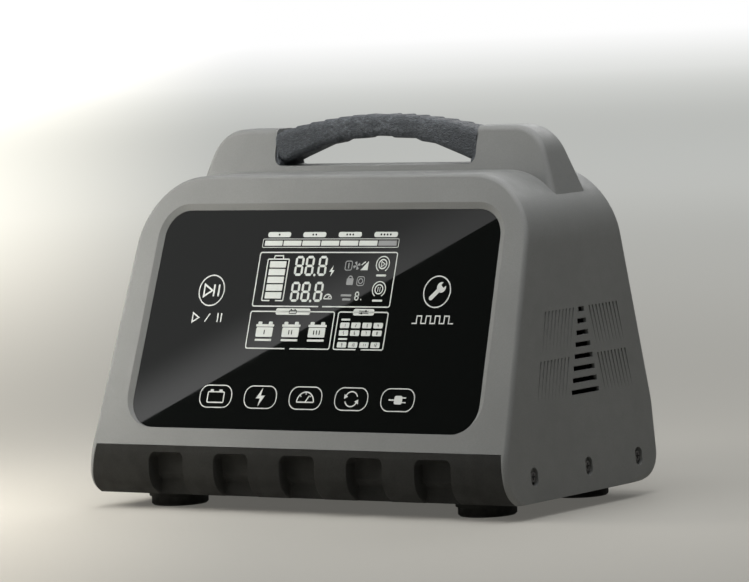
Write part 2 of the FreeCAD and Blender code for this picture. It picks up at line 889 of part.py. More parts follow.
def rear_cover():
    """Cover plate in the rear frame, with the fan grille and the cut-outs of the connectors."""
    plate = prism(inset(cover_outline(), cover_gap), -cover_thickness, 0)
    cuts = [grille_cutter()]
    for u, v in cover_screw_points():
        cuts.append(disc(small_screw_diameter + 2 * screw_hole_clearance, u, v, -cover_thickness - 1, 1))
    for u, v in fan_screw_points():
        cuts.append(disc(fan_screw_diameter, u, v, -cover_thickness - 1, 1))
    cuts.append(prism(centred(inlet_body_width, inlet_body_height, inlet_u, inlet_v),
                      -cover_thickness - 1, 1))
    for sign in (-1, 1):
        cuts.append(disc(small_screw_diameter, inlet_u + sign * inlet_screw_pitch / 2, inlet_v,
                         -cover_thickness - 1, 1))
    cuts.append(prism(centred(switch_body_width, switch_body_height, switch_u, switch_v),
                      -cover_thickness - 1, 1))
    for u in socket_us:
        cuts.append(disc(socket_barrel_diameter, u, socket_v, -cover_thickness - 1, 1))
    return placed(plate.cut(cuts), on_rear)


def rear_cover_screws():
    """Six screws through the rear cover into the shell."""
    screws = [pan_screw(u, v, 0, -cover_thickness - cover_boss_length + 1, small_screw_diameter,
                        small_head_diameter, small_head_height, 1) for u, v in cover_screw_points()]
    return placed(Part.makeCompound(screws), on_rear)


def fan_frame():
    """Square fan frame with its hub plate, struts and bearing tube."""
    front = -cover_thickness
    back = front - fan_depth
    frame = prism(centred(fan_size, fan_size, fan_u, fan_v, 4.0), back, front)
    frame = frame.cut(disc(fan_bore, fan_u, fan_v, back - 1, front + 1))
    hub = disc(fan_hub_diameter, fan_u, fan_v, back, back + 2.5)
    struts = []
    for i in range(2):
        strut = prism(centred(fan_bore + 2, 4.0, 0, 0), back, back + 2.5)
        strut.rotate(Vector(), Vector(0, 0, 1), 45 + 90 * i)
        strut.translate(Vector(fan_u, fan_v, 0))
        struts.append(strut)
    tube = disc(8.0, fan_u, fan_v, back, front - fan_depth / 2 + 1)
    frame = frame.fuse(struts + [hub, tube])
    bore = disc(fan_shaft_diameter + 2 * fan_shaft_clearance, fan_u, fan_v, back + 1.2, front)
    holes = [disc(fan_screw_diameter, u, v, back - 1, front + 1) for u, v in fan_screw_points()]
    return placed(frame.cut([bore] + holes), on_rear)


def fan_blade():
    """One twisted blade about the w axis, from inside the hub to near the bore."""
    wires = []
    tip = fan_bore / 2 - fan_blade_tip_gap
    root = fan_hub_diameter / 2 - 0.8
    front = -cover_thickness - fan_end_gap - 1.5
    back = -cover_thickness - fan_depth + 2.5 + 1.8
    for radius, turn in ((root, 42.0), (tip, 58.0)):
        half = (front - back) / 2
        sweep = half * math.tan(math.radians(turn)) * 0.75
        thick = fan_blade_thickness / 2 / math.cos(math.radians(turn))
        middle = (front + back) / 2
        corners = [(-sweep - thick, -half), (-sweep + thick, -half)]
        corners += [(sweep + thick, half), (sweep - thick, half)]
        points = [Vector(radius, u, middle + w) for u, w in corners]
        wires.append(Part.makePolygon(points + [points[0]]))
    blade = Part.makeLoft(wires, True, True)
    envelope = disc(2 * tip, 0, 0, back, front)
    return blade.common(envelope)


def fan_rotor():
    """Turning part of the fan: hub cup, shaft and blades."""
    front = -cover_thickness - fan_end_gap
    back = -cover_thickness - fan_depth + 2.5 + 1.2
    inner_space = disc(fan_hub_diameter - 4, 0, 0, back - 1, front - 2.2)
    hub = disc(fan_hub_diameter, 0, 0, back, front).cut(inner_space)
    shaft = disc(fan_shaft_diameter, 0, 0, back - 1.8, front - 1)
    blades = []
    for i in range(fan_blade_count):
        blade = fan_blade()
        blade.rotate(Vector(), Vector(0, 0, 1), 360.0 * i / fan_blade_count)
        blades.append(blade)
    blades = [blade.cut(inner_space) for blade in blades]
    rotor = hub.fuse(blades).fuse(shaft)
    rotor.translate(Vector(fan_u, fan_v, 0))
    return placed(rotor, on_rear)


def fan_screws():
    """Four screws that hold the fan to the rear cover."""
    screws = [pan_screw(u, v, 0, -cover_thickness - 8, fan_screw_diameter, small_head_diameter + 1.2,
                        small_head_height, 1) for u, v in fan_screw_points()]
    return placed(Part.makeCompound(screws), on_rear)


def inlet_pin_points():
    """Centres of the three inlet pins."""
    return [
        (inlet_u - pin_spacing, inlet_v - pin_offset),
        (inlet_u + pin_spacing, inlet_v - pin_offset),
        (inlet_u, inlet_v + pin_offset),
    ]


def mains_inlet():
    """Keyed mains inlet with its screw flange."""
    flange = prism(centred(inlet_flange_width, inlet_flange_height, inlet_u, inlet_v, 5.0), 0,
                   inlet_flange_thickness)
    body = prism(centred(inlet_body_width, inlet_body_height, inlet_u, inlet_v), -inlet_body_depth, 0)
    half_u = inlet_socket_width / 2
    half_v = inlet_socket_height / 2
    key = inlet_key_chamfer
    corners = [(-half_u, -half_v), (half_u, -half_v), (half_u, half_v - key), (half_u - key, half_v),
               (key - half_u, half_v), (-half_u, half_v - key)]
    socket = prism([(inlet_u + u, inlet_v + v, 0.6) for u, v in corners],
                   inlet_flange_thickness - inlet_socket_depth, inlet_flange_thickness + 1)
    cuts = [socket]
    for u, v in inlet_pin_points():
        cuts.append(prism(centred(pin_width, pin_height, u, v), -inlet_body_depth - 1, 0))
    for sign in (-1, 1):
        cuts.append(disc(small_screw_diameter, inlet_u + sign * inlet_screw_pitch / 2, inlet_v, -1,
                         inlet_flange_thickness + 1))
    return placed(flange.fuse(body).cut(cuts), on_rear)


def inlet_pins():
    """Three flat pins, which end in solder tabs behind the inlet."""
    pins = [prism(centred(pin_width, pin_height, u, v), -inlet_body_depth - pin_tail,
                  inlet_flange_thickness - pin_recess) for u, v in inlet_pin_points()]
    return placed(Part.makeCompound(pins), on_rear)


def inlet_screws():
    """Two screws of the inlet flange."""
    screws = [pan_screw(inlet_u + sign * inlet_screw_pitch / 2, inlet_v, inlet_flange_thickness,
                        -cover_thickness - 4, small_screw_diameter, small_head_diameter,
                        small_head_height, 1) for sign in (-1, 1)]
    return placed(Part.makeCompound(screws), on_rear)


def switch_body():
    """Housing of the power switch with a raised rim and the rocker's pivot holes."""
    rim = prism(centred(switch_flange_width, switch_flange_height, switch_u, switch_v, 1.5), 0,
                switch_flange_thickness)
    body = prism(centred(switch_body_width, switch_body_height, switch_u, switch_v), -switch_body_depth, 0)
    well = prism(centred(switch_body_width - 2 * switch_wall, switch_body_height - 2 * switch_wall,
                         switch_u, switch_v), -switch_body_depth / 2, switch_flange_thickness + 1)
    pivot_reach = switch_body_width / 2 - switch_wall + rocker_pin_length + 0.15
    pivot = Part.makeCylinder(rocker_pin_diameter / 2 + rocker_pin_clearance, 2 * pivot_reach,
                              Vector(switch_u - pivot_reach, switch_v, -rocker_pivot_depth), Vector(1, 0, 0))
    return placed(rim.fuse(body).cut([well, pivot]), on_rear)


def power_rocker():
    """Rocker of the power switch, at rest with its lower end pressed in."""
    half_width_u = switch_body_width / 2 - switch_wall - rocker_side_gap
    tip = rocker_half_length
    side = [(-tip, 2.8, 0.4), (-tip, -0.5, 0), (-3, -4.2, 0), (3, -4.2, 0), (tip, -0.5, 0), (tip, 2.8, 0.4),
            (0, 1.6, 0)]
    paddle = from_side_view([(v, w, r) for v, w, r in side], -half_width_u, half_width_u)
    reach = half_width_u + rocker_side_gap + rocker_pin_length
    pin = Part.makeCylinder(rocker_pin_diameter / 2, 2 * reach, Vector(-reach, 0, -rocker_pivot_depth),
                            Vector(1, 0, 0))
    rocker = paddle.fuse(pin)
    rocker.rotate(Vector(0, 0, -rocker_pivot_depth), Vector(1, 0, 0), rocker_tilt)
    rocker.translate(Vector(switch_u, switch_v, 0))
    return placed(rocker, on_rear)


def output_socket(u):
    """Insulated round output socket: flange, collar and barrel with a step for the contact."""
    outer = disc(socket_flange_diameter, u, socket_v, 0, socket_flange_thickness)
    outer = outer.makeChamfer(0.6, [outer.Edges[0]])
    collar = disc(socket_collar_diameter, u, socket_v, socket_flange_thickness,
                  socket_flange_thickness + socket_collar_height)
    barrel = disc(socket_barrel_diameter, u, socket_v, -socket_barrel_length, 0)
    bore = disc(socket_bore + 2 * contact_wall, u, socket_v, -socket_barrel_length - 1,
                socket_flange_thickness + socket_collar_height + 1)
    return placed(outer.fuse([collar, barrel]).cut(bore), on_rear)


def output_contacts():
    """Two brass contact tubes in the output sockets."""
    contacts = []
    face = socket_flange_thickness + socket_collar_height - 1.0
    for u in socket_us:
        tube = disc(socket_bore + 2 * contact_wall, u, socket_v, -socket_barrel_length - contact_tail_length,
                    face)
        contacts.append(tube.cut(disc(socket_bore, u, socket_v, face - socket_bore_depth, face + 1)))
    return placed(Part.makeCompound(contacts), on_rear)


def socket_nuts():
    """Two hexagonal nuts that clamp the output sockets behind the cover."""
    nuts = []
    for u in socket_us:
        corner_radius = socket_nut_width / math.sqrt(3)
        corners = []
        for i in range(6):
            angle = math.radians(60 * i)
            corner_v = socket_v + corner_radius * math.sin(angle)
            corners.append((u + corner_radius * math.cos(angle), corner_v, 0))
        nut = prism(corners, -cover_thickness - socket_nut_height, -cover_thickness)
        nuts.append(nut.cut(disc(socket_barrel_diameter, u, socket_v, -50, 1)))
    return placed(Part.makeCompound(nuts), on_rear)


def notch_centres():
    """X of the bumper's notches."""
    return [(i - (notch_count - 1) / 2) * notch_pitch for i in range(notch_count)]


def nose_block(depth, half_high, half_low, top):
    """Nose of the body set back by a depth and cut to the bumper's opening."""
    side = [(y, z, r) for y, z, r in inset(body_side_view(), depth)]
    nose = from_side_view(side, -half_width_at_floor, half_width_at_floor)
    slope = (half_low - half_high) / (bumper_top - shell_bottom)
    low = shell_bottom
    opening = [(-half_low, low, 0), (half_low, low, 0), (half_low - slope * (top - low), top, 0),
               (slope * (top - low) - half_low, top, 0)]
    return nose.common(from_front_view(opening, -200, -front_reach + 24))


def bumper():
    """Black front bumper: hollow nose with five notches whose floors follow the nose."""
    top = bumper_top - bumper_gap
    high = bumper_half_width_high - bumper_gap
    low = bumper_half_width_low - bumper_gap
    outer = nose_block(0.0, high, low, top)
    floor_shape = nose_block(notch_depth, high, low, top)
    cutters = []
    for x in notch_centres():
        corners = rectangle(notch_width / 2, shell_bottom - 20, notch_top, notch_corner_radius, x)
        cutters.append(from_front_view(corners, -200, 0).cut(floor_shape))
    outer = outer.cut(cutters)
    inner_top = top - bumper_wall
    hollow = nose_block(bumper_wall, high - bumper_wall, low - bumper_wall, inner_top)
    walls = []
    for x in notch_centres():
        half = notch_width / 2 + bumper_wall
        walls.append(box(x - half, x + half, -200, 0, 0, notch_top + bumper_wall))
    deep = nose_block(notch_depth + bumper_wall, high - bumper_wall, low - bumper_wall, inner_top)
    hollow = hollow.cut(walls).fuse(deep)
    hollow = hollow.common(box(-200, 200, -200, 0, shell_bottom + tray_floor, inner_top))
    return outer.cut(hollow)


def foot_points():
    """Names and centres of the four feet."""
    return [
        ("foot_front_left", -foot_x, foot_front_y),
        ("foot_front_right", foot_x, foot_front_y),
        ("foot_rear_left", -foot_x, foot_rear_y),
        ("foot_rear_right", foot_x, foot_rear_y),
    ]


def main_board_screw_points():
    """Places of the main board's six screws."""
    points = []
    for x in (-1, 0, 1):
        for y in (main_board_front + main_board_boss_inset, main_board_rear - main_board_boss_inset):
            points.append((x * (main_board_half_width - main_board_boss_inset), y))
    return points


def base_tray():
    """Black base: bumper, floor, upstands inside the shell, foot collars and bosses."""
    floor_half = half_width(shell_bottom) - shell_wall * 1.05 - tray_gap
    floor_front = -front_reach + nose_setback + 1.5
    floor = box(-floor_half, floor_half, floor_front, tray_rear, shell_bottom, shell_bottom + tray_floor)
    side_clearance = box(bumper_half_width_low - bumper_gap, 200, -120, -front_reach + 24 + tray_gap, 0, 60)
    floor = floor.cut(both_sides([side_clearance]))
    outer_x = half_width(tray_wall_top) - shell_wall * 1.05 - tray_gap
    wall = box(outer_x - tray_wall, outer_x, -front_reach + 26, tray_rear, shell_bottom + tray_floor / 2,
               tray_wall_top)
    cup_inner = half_width(side_screw_z) - side_recess_depth - side_cup_wall
    bosses = []
    boss_cuts = []
    for y in side_screw_ys:
        half = side_recess_height / 2 + side_cup_wall + tray_gap
        wall = wall.cut(box(cup_inner - tray_gap, 200, y - half, y + half, shell_bottom + tray_floor, 60))
        start = cup_inner - tray_gap
        boss = Part.makeCylinder(tray_boss_diameter / 2, side_screw_length, Vector(start, y, side_screw_z),
                                 Vector(-1, 0, 0))
        web = box(start - side_screw_length, start, y - tray_boss_diameter / 2, y + tray_boss_diameter / 2,
                  shell_bottom + tray_floor / 2, side_screw_z)
        bosses += [boss, web]
        boss_cuts.append(Part.makeCylinder(side_screw_diameter / 2, side_screw_length,
                                           Vector(start + 1, y, side_screw_z), Vector(-1, 0, 0)))
    parts = both_sides([wall] + bosses)
    rear_half = cup_inner - tray_gap
    rear_wall = box(-rear_half, rear_half, tray_rear - tray_wall, tray_rear, shell_bottom + tray_floor / 2,
                    tray_wall_top - 8)
    parts.append(rear_wall)
    for _, x, y in foot_points():
        parts.append(disc(foot_collar_diameter, x, y, foot_height, shell_bottom))
        parts.append(disc(foot_boss_diameter, x, y, shell_bottom + tray_floor / 2, main_board_z - 2.0))
    for x, y in main_board_screw_points():
        parts.append(disc(display_boss_diameter, x, y, shell_bottom + tray_floor / 2, main_board_z))
    tongue_low = (bumper_top - 2 * bumper_wall) * front_slope
    tongue_high = bumper_top * front_slope + tray_tongue_height
    tongue_face = shell_wall + tray_gap
    tongue = placed(prism(rectangle(bumper_half_width_high - 8, tongue_low, tongue_high),
                          -tongue_face - tray_tongue_thickness, -tongue_face), on_front)
    parts.append(tongue)
    tray = bumper().fuse([floor] + parts)
    cuts = both_sides(boss_cuts)
    for _, x, y in foot_points():
        cuts.append(disc(foot_screw_diameter, x, y, 0, foot_head_sink + foot_head_height + foot_screw_length))
    for x, y in main_board_screw_points():
        cuts.append(disc(small_screw_diameter, x, y, shell_bottom + tray_floor, main_board_z + 1))
    return tray.cut(cuts)


def shell_screws():
    """Six screws through the shell's side recesses into the base tray."""
    screws = []
    seat = half_width(side_screw_z) - side_recess_depth
    cup_inner = seat - side_cup_wall
    for y in side_screw_ys:
        head = Part.makeCylinder(side_head_diameter / 2, side_head_height, Vector(seat, y, side_screw_z),
                                 Vector(1, 0, 0))
        slot_depth = side_head_height / 2
        for turn in (0, 90):
            slot = box(seat + side_head_height - slot_depth, seat + side_head_height + 1, y - 2.2, y + 2.2,
                       side_screw_z - 0.5, side_screw_z + 0.5)
            slot.rotate(Vector(seat, y, side_screw_z), Vector(1, 0, 0), turn)
            head = head.cut(slot)
        end = cup_inner - tray_gap + 1 - side_screw_length
        shank = Part.makeCylinder(side_screw_diameter / 2, seat - end, Vector(end, y, side_screw_z),
                                  Vector(1, 0, 0))
        screws.append(head.fuse(shank))
    return Part.makeCompound(both_sides(screws))


def foot(x, y):
    """Round rubber foot with a sunk screw hole."""
    body = disc(foot_diameter, x, y, 0, foot_height)
    low_rim = [edge for edge in body.Edges if edge.BoundBox.ZMax < 0.01]
    body = body.makeChamfer(foot_chamfer, low_rim)
    seat = foot_head_sink + foot_head_height
    sink = disc(foot_head_diameter + 1.0, x, y, -1, seat)
    hole = disc(foot_screw_diameter, x, y, 0, foot_height + 1)
    return body.cut([sink, hole])


def foot_screws():
    """Four screws that hold the feet."""
    seat = foot_head_sink + foot_head_height
    screws = [pan_screw(x, y, seat, seat + foot_screw_length, foot_screw_diameter, foot_head_diameter,
                        foot_head_height, -1) for _, x, y in foot_points()]
    return Part.makeCompound(screws)


def main_board():
    """Main circuit board on the tray's bosses."""
    board = prism(rectangle(main_board_half_width, main_board_front, main_board_rear, 3.0), main_board_z,
                  main_board_top)
    holes = [disc(small_screw_diameter, x, y, main_board_z - 1, main_board_top + 1)
             for x, y in main_board_screw_points()]
    return board.cut(holes)


def main_board_screws():
    """Six screws that hold the main board."""
    screws = [pan_screw(x, y, main_board_top, shell_bottom + tray_floor + 1, small_screw_diameter,
                        small_head_diameter, small_head_height, 1) for x, y in main_board_screw_points()]
    return Part.makeCompound(screws)


def heat_sink(x, y, direction):
    """Finned aluminium extrusion that stands on the main board; the fins point along direction."""
    low = main_board_top
    high = low + heat_sink_height
    front, rear = y - heat_sink_length / 2, y + heat_sink_length / 2
    outer = x + direction * heat_sink_base
    tip = outer + direction * heat_sink_fin_length
    base = box(min(x, outer), max(x, outer), front, rear, low, high)
    fins = []
    for i in range(heat_sink_fin_count):
        z = low + 2 + (heat_sink_height - 4 - heat_sink_fin_thickness) * i / (heat_sink_fin_count - 1)
        fins.append(box(min(outer, tip), max(outer, tip), front, rear, z, z + heat_sink_fin_thickness))
    return base.fuse(fins)


def power_transistors():
    """Three flat power devices on the plain side of each heat sink, their legs in the board."""
    devices = []
    width, depth, height = transistor_body
    for x, direction in ((sink_x["primary"], 1), (sink_x["secondary"], -1)):
        for i in (-1, 0, 1):
            y = sink_y + i * transistor_pitch
            low = main_board_top + transistor_lift
            near, far = sorted((x, x - direction * depth))
            device = box(near, far, y - width / 2, y + width / 2, low, low + height)
            middle = (near + far) / 2
            legs = []
            for j in (-1, 0, 1):
                leg_y = y + j * 5.4
                legs.append(box(middle - 0.4, middle + 0.4, leg_y - 0.6, leg_y + 0.6,
                                main_board_top, low + 1))
            devices.append(device.fuse(legs))
    return Part.makeCompound(devices)


def transformer_core():
    """Ferrite core with an open window on each side of its middle leg."""
    half = transformer_size / 2
    low = main_board_top + transformer_lift
    high = low + transformer_height
    yoke = transformer_leg / 2
    core = box(-half, half, sink_y - transformer_leg / 2, sink_y + transformer_leg / 2, low, high)
    for side in (-1, 1):
        near, far = sorted((side * transformer_leg / 2, side * (half - yoke)))
        core = core.cut(box(near, far, sink_y - half, sink_y + half, low + yoke, high - yoke))
    return core


def transformer_winding():
    """Wound bobbin on the core's middle leg, with its foot on the board."""
    low = main_board_top + transformer_lift
    wall = transformer_leg / 2
    bottom = low + wall
    top = low + transformer_height - wall
    outer = transformer_size / 2 - wall - 0.3
    winding = prism(centred(2 * outer, 2 * outer + 6, 0, sink_y, 6.0), bottom + 2, top - 2)
    flange_low = prism(centred(2 * outer, 2 * outer + 10, 0, sink_y, 3.0), bottom, bottom + 2)
    flange_high = prism(centred(2 * outer, 2 * outer + 10, 0, sink_y, 3.0), top - 2, top)
    leg_space = box(-transformer_leg / 2, transformer_leg / 2, sink_y - transformer_leg / 2,
                    sink_y + transformer_leg / 2, bottom - 1, top + 1)
    bobbin = winding.fuse([flange_low, flange_high]).cut(leg_space)
    feet = []
    for side in (-1, 1):
        y = sink_y + side * (outer + 2.5)
        feet.append(box(-outer, outer, y - 1.5, y + 1.5, main_board_top, bottom + 1))
    return bobbin.fuse(feet)


def capacitors(diameter, height, points):
    """Upright round capacitors on the main board."""
    cans = []
    for x, y in points:
        can = disc(diameter, x, y, main_board_top, main_board_top + height)
        top_edge = [edge for edge in can.Edges if edge.BoundBox.ZMin > main_board_top + height - 0.1]
        cans.append(can.makeFillet(1.0, top_edge))
    return Part.makeCompound(cans)


def toroid(x, y, outer, inner, height):
    """Choke wound on a ring core that lies on the board."""
    core = ring(outer, inner, x, y, main_board_top, main_board_top + height)
    rims = [edge for edge in core.Edges if isinstance(edge.Curve, Part.Circle)]
    return core.makeFillet(min(3.0, (outer - inner) / 4.5), rims)


def relay():
    """Output relay on the main board."""
    length, width, height = relay_size
    return prism(centred(length, width, *relay_place, 0.8), main_board_top, main_board_top + height)


def fuse_link():
    """Glass fuse in its holder, beside the mains choke."""
    x, y = fuse_point
    holder = prism(centred(30.0, 9.0, x, y, 1.0), main_board_top, main_board_top + 6.0)
    axis_z = main_board_top + 8.2
    tube = Part.makeCylinder(2.6, 20.0, Vector(x - 10.0, y, axis_z), Vector(1, 0, 0))
    fittings = [tube]
    for side in (-1, 1):
        cap_start = x + side * 10.5 - 2.5
        fittings.append(Part.makeCylinder(3.0, 5.0, Vector(cap_start, y, axis_z), Vector(1, 0, 0)))
        fittings.append(box(cap_start + 1, cap_start + 4, y - 2.5, y + 2.5, main_board_top + 5.0, axis_z))
    return holder.fuse(fittings)


def lead(points, diameter, bend=lead_bend_radius):
    """Insulated lead along straight runs joined by arcs."""
    marks = [(points[0], None, points[0])]
    for i in range(1, len(points) - 1):
        marks.append(corner_marks(points[i - 1], points[i], points[i + 1], bend))
    marks.append((points[-1], None, points[-1]))
    edges = []
    for i, (start, middle, end) in enumerate(marks):
        if middle is not None:
            edges.append(Part.Arc(start, middle, end).toShape())
        if i + 1 < len(marks):
            edges.append(Part.LineSegment(end, marks[i + 1][0]).toShape())
    path = Part.Wire(edges)
    heading = Vector(points[1] - points[0]).normalize()
    section = Part.Wire(Part.makeCircle(diameter / 2, points[0], heading))
    return path.makePipeShell([section], True, False)


def rear_point(u, v, w):
    """Point of the rear face's frame in the part's own frame."""
    return on_rear.multVec(Vector(u, v, w))


def mains_leads():
    """Three leads from the inlet's tabs down to the main board."""
    leads = []
    for i, (u, v) in enumerate(inlet_pin_points()):
        start = rear_point(u, v, -inlet_body_depth - pin_tail)
        inward = rear_point(u, v, -inlet_body_depth - pin_tail - 10.0)
        end = Vector(inward.x, inward.y, main_board_top)
        leads.append(lead([start, inward, end], 2.6, 5.0))
    return Part.makeCompound(leads)


def output_leads():
    """Two heavy leads from the output contacts down to the main board."""
    leads = []
    for u in socket_us:
        start = rear_point(u, socket_v, -socket_barrel_length - contact_tail_length)
        inward = rear_point(u, socket_v, -socket_barrel_length - contact_tail_length - 14.0)
        end = Vector(inward.x, inward.y, main_board_top)
        leads.append(lead([start, inward, end], 5.0, 9.0))
    return Part.makeCompound(leads)


def fan_lead():
    """Thin lead from the fan frame down to the main board."""
    start = rear_point(fan_u, fan_v - fan_size / 2 - 0.5, -cover_thickness - fan_depth + 4)
    first = Vector(start.x, start.y, start.z - 12.0)
    second = Vector(start.x, main_board_rear - 12.0, start.z - 26.0)
    end = Vector(second.x, second.y, main_board_top)
    return lead([start, first, second, end], 3.0, 6.0)


def display_ribbon():
    """Flat ribbon from the display board down to the main board."""
    start = on_front.multVec(Vector(0, window_low, -display_board_back))
    thickness = 0.8
    run_y = start.y + 8.0
    outer = [
        (start.y, start.z, 0),
        (start.y + thickness / 3, start.z - thickness, 0),
        (run_y, start.z - thickness - 3.0, 2.0),
        (run_y, main_board_top, 0),
        (run_y + thickness, main_board_top, 0),
        (run_y + thickness, start.z - 3.0, 2.8),
    ]
    return from_side_view(outer, -12.0, 12.0)


def pieces():
    """Every named piece of the charger."""
    named = {
        "main_shell": main_shell(),
        "handle_grip": handle_grip(),
        "control_lens": control_lens(),
        "lens_tape": lens_tape(),
        "lcd_module": lcd_module(),
        "display_board": display_board(),
        "display_board_screws": display_board_screws(),
        "touch_springs": touch_springs(),
        "buzzer": buzzer(),
        "display_ribbon": display_ribbon(),
        "rear_cover": rear_cover(),
        "rear_cover_screws": rear_cover_screws(),
        "fan_frame": fan_frame(),
        "fan_rotor": fan_rotor(),
        "fan_screws": fan_screws(),
        "fan_lead": fan_lead(),
        "mains_inlet": mains_inlet(),
        "inlet_pins": inlet_pins(),
        "inlet_screws": inlet_screws(),
        "mains_leads": mains_leads(),
        "switch_body": switch_body(),
        "power_rocker": power_rocker(),
        "red_output_socket": output_socket(socket_us[0]),
        "black_output_socket": output_socket(socket_us[1]),
        "output_contacts": output_contacts(),
        "socket_nuts": socket_nuts(),
        "output_leads": output_leads(),
        "base_tray": base_tray(),
        "shell_screws": shell_screws(),
        "foot_screws": foot_screws(),
        "main_board": main_board(),
        "main_board_screws": main_board_screws(),
        "primary_heat_sink": heat_sink(sink_x["primary"], sink_y, 1),
        "secondary_heat_sink": heat_sink(sink_x["secondary"], sink_y, -1),
        "power_transistors": power_transistors(),
        "transformer_core": transformer_core(),
        "transformer_winding": transformer_winding(),
        "bulk_capacitors": capacitors(*bulk_size, bulk_points),
        "output_capacitors": capacitors(*output_capacitor_size, output_capacitor_points),
        "mains_choke": toroid(*mains_choke_place),
        "output_choke": toroid(*output_choke_place),
        "relay": relay(),
        "fuse": fuse_link(),
    }
    for name, x, y in foot_points():
        named[name] = foot(x, y)
    return named


def main():
    """Write one file for each piece."""
    os.makedirs("parts", exist_ok=True)
    for name, shape in pieces().items():
        shape = shape.removeSplitter()
        shape.exportStep(os.path.join("parts", name + ".step"))
        print(name, len(shape.Solids), round(shape.Volume), shape.isValid())


main()
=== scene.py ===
import json
from math import cos, hypot, pi, radians, sin

import bmesh
import bpy
from bpy.props import FloatProperty, FloatVectorProperty, PointerProperty
from bpy.types import NodeSocket, Operator, Panel, PropertyGroup
from mathutils import Matrix, Vector
from mathutils.bvhtree import BVHTree


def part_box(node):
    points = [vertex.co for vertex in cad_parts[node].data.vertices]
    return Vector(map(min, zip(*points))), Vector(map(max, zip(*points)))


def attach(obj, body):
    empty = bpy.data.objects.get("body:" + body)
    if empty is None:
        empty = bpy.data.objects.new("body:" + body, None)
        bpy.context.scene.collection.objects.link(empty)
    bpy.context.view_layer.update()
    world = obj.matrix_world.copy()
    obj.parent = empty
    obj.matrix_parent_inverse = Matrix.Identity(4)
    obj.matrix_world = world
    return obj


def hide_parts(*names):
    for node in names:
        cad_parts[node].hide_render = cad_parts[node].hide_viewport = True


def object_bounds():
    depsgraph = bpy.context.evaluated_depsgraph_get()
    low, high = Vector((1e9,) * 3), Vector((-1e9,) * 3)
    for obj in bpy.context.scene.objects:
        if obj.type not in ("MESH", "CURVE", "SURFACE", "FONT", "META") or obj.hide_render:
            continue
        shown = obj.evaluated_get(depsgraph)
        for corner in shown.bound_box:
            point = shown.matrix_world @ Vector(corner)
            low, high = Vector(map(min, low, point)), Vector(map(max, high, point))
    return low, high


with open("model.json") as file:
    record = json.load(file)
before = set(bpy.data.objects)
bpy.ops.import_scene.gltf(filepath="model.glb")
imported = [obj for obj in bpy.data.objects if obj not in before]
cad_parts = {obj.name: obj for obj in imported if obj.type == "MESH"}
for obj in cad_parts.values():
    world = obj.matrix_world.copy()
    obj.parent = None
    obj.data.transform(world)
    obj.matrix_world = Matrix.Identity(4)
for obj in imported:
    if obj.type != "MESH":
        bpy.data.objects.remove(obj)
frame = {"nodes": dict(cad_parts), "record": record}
cad_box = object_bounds()

bl_info = {
    "name": "Battery charger looks",
    "version": (1, 0, 0),
    "blender": (4, 5, 0),
    "location": "View3D > Sidebar > Charger",
    "description": "Finishes, grip, bumper, printed signs and lit display of a car battery charger",
    "category": "Object",
}

MM = 0.001
BODY = "body"


class Plane:
    """A flat side of a node with its own axes: u to the reader's right, v up the side."""

    NEARLY_FACING = 0.7

    def __init__(self, node, facing):
        areas = {}
        for face in frame["nodes"][node].data.polygons:
            if face.normal.dot(facing) > self.NEARLY_FACING:
                key = tuple(round(value, 3) for value in face.normal)
                areas.setdefault(key, []).append(face)
        sides = max(areas.values(), key=lambda faces: sum(face.area for face in faces))
        self.normal = sides[0].normal.copy()
        self.across = Vector((0, 0, 1)).cross(self.normal).normalized()
        self.up = self.normal.cross(self.across)
        reach = max(face.center.dot(self.normal) for face in sides)
        self.foot = Vector((0, reach / self.normal.y, 0))

    def point(self, u, v, lift=0.0):
        return self.foot + self.across * u + self.up * v + self.normal * lift


WINDOW = Plane("control_lens", Vector((0, -1, 0.3)))
COVER = Plane("rear_cover", Vector((0, 1, 0.1)))


def colour(name, owner, value):
    return FloatVectorProperty(name=name, description="Colour of the " + owner, default=value,
                               subtype="COLOR", min=0.0, max=1.0)


def number(name, description, value, **kind):
    return FloatProperty(name=name, description=description, default=value, **kind)


def length(name, description, millimetres):
    return number(name, description, millimetres * MM, unit="LENGTH", subtype="DISTANCE", min=0.0,
                  precision=5)


def angle(name, description, degrees):
    return number(name, description, radians(degrees), unit="ROTATION", subtype="ANGLE")


class HousingLooks(PropertyGroup):
    """Finish of the moulded housing."""

    shell: colour("Shell", "moulded shell", (0.2, 0.205, 0.2))
    base: colour("Base", "base tray and its bumper", (0.021, 0.021, 0.019))
    grip: colour("Grip", "rubber grip", (0.07, 0.077, 0.085))
    foot: colour("Feet", "rubber feet", (0.02, 0.02, 0.018))
    cover: colour("Rear cover", "coated rear cover", (0.02, 0.02, 0.021))
    shell_grain: length("Shell grain", "Width of the grain moulded into the shell", 0.55)
    grip_grain: length("Grip grain", "Width of the creases moulded into the grip", 1.7)
    bevel: length("Edge radius", "Radius that light finds on every moulded edge", 0.35)


class GripLooks(PropertyGroup):
    """Shape of the stepped rubber grip."""

    step: length("Step", "Height of each step along the top", 0.95)
    step_pitch: length("Step pitch", "Distance between the steps along the top", 11.8)
    top_sag_radius: length("Top radius", "Radius of the arc along the top", 330.0)
    top: length("Top", "Height of the grip's top in the middle", 267.4)
    middle: length("Middle depth", "Place of the grip's middle from front to back", 33.2)
    thickness: length("Thickness", "Grip from front to back, in the middle", 20.4)
    end_thickness: length("End thickness", "Grip from front to back, at its ends", 25.0)
    corner: length("Corner radius", "Radius along the grip's four edges", 5.6)
    lining: length("Lining", "Where the lining of the horns begins, from the middle", 81.5)
    reach: length("Reach", "Where the new bar ends inside the lining, from the middle", 85.9)
    widen_from: length("Widening", "Where the grip begins to thicken, from the middle", 35.0)
    widen_over: length("Widening length", "Length over which the grip thickens", 45.0)


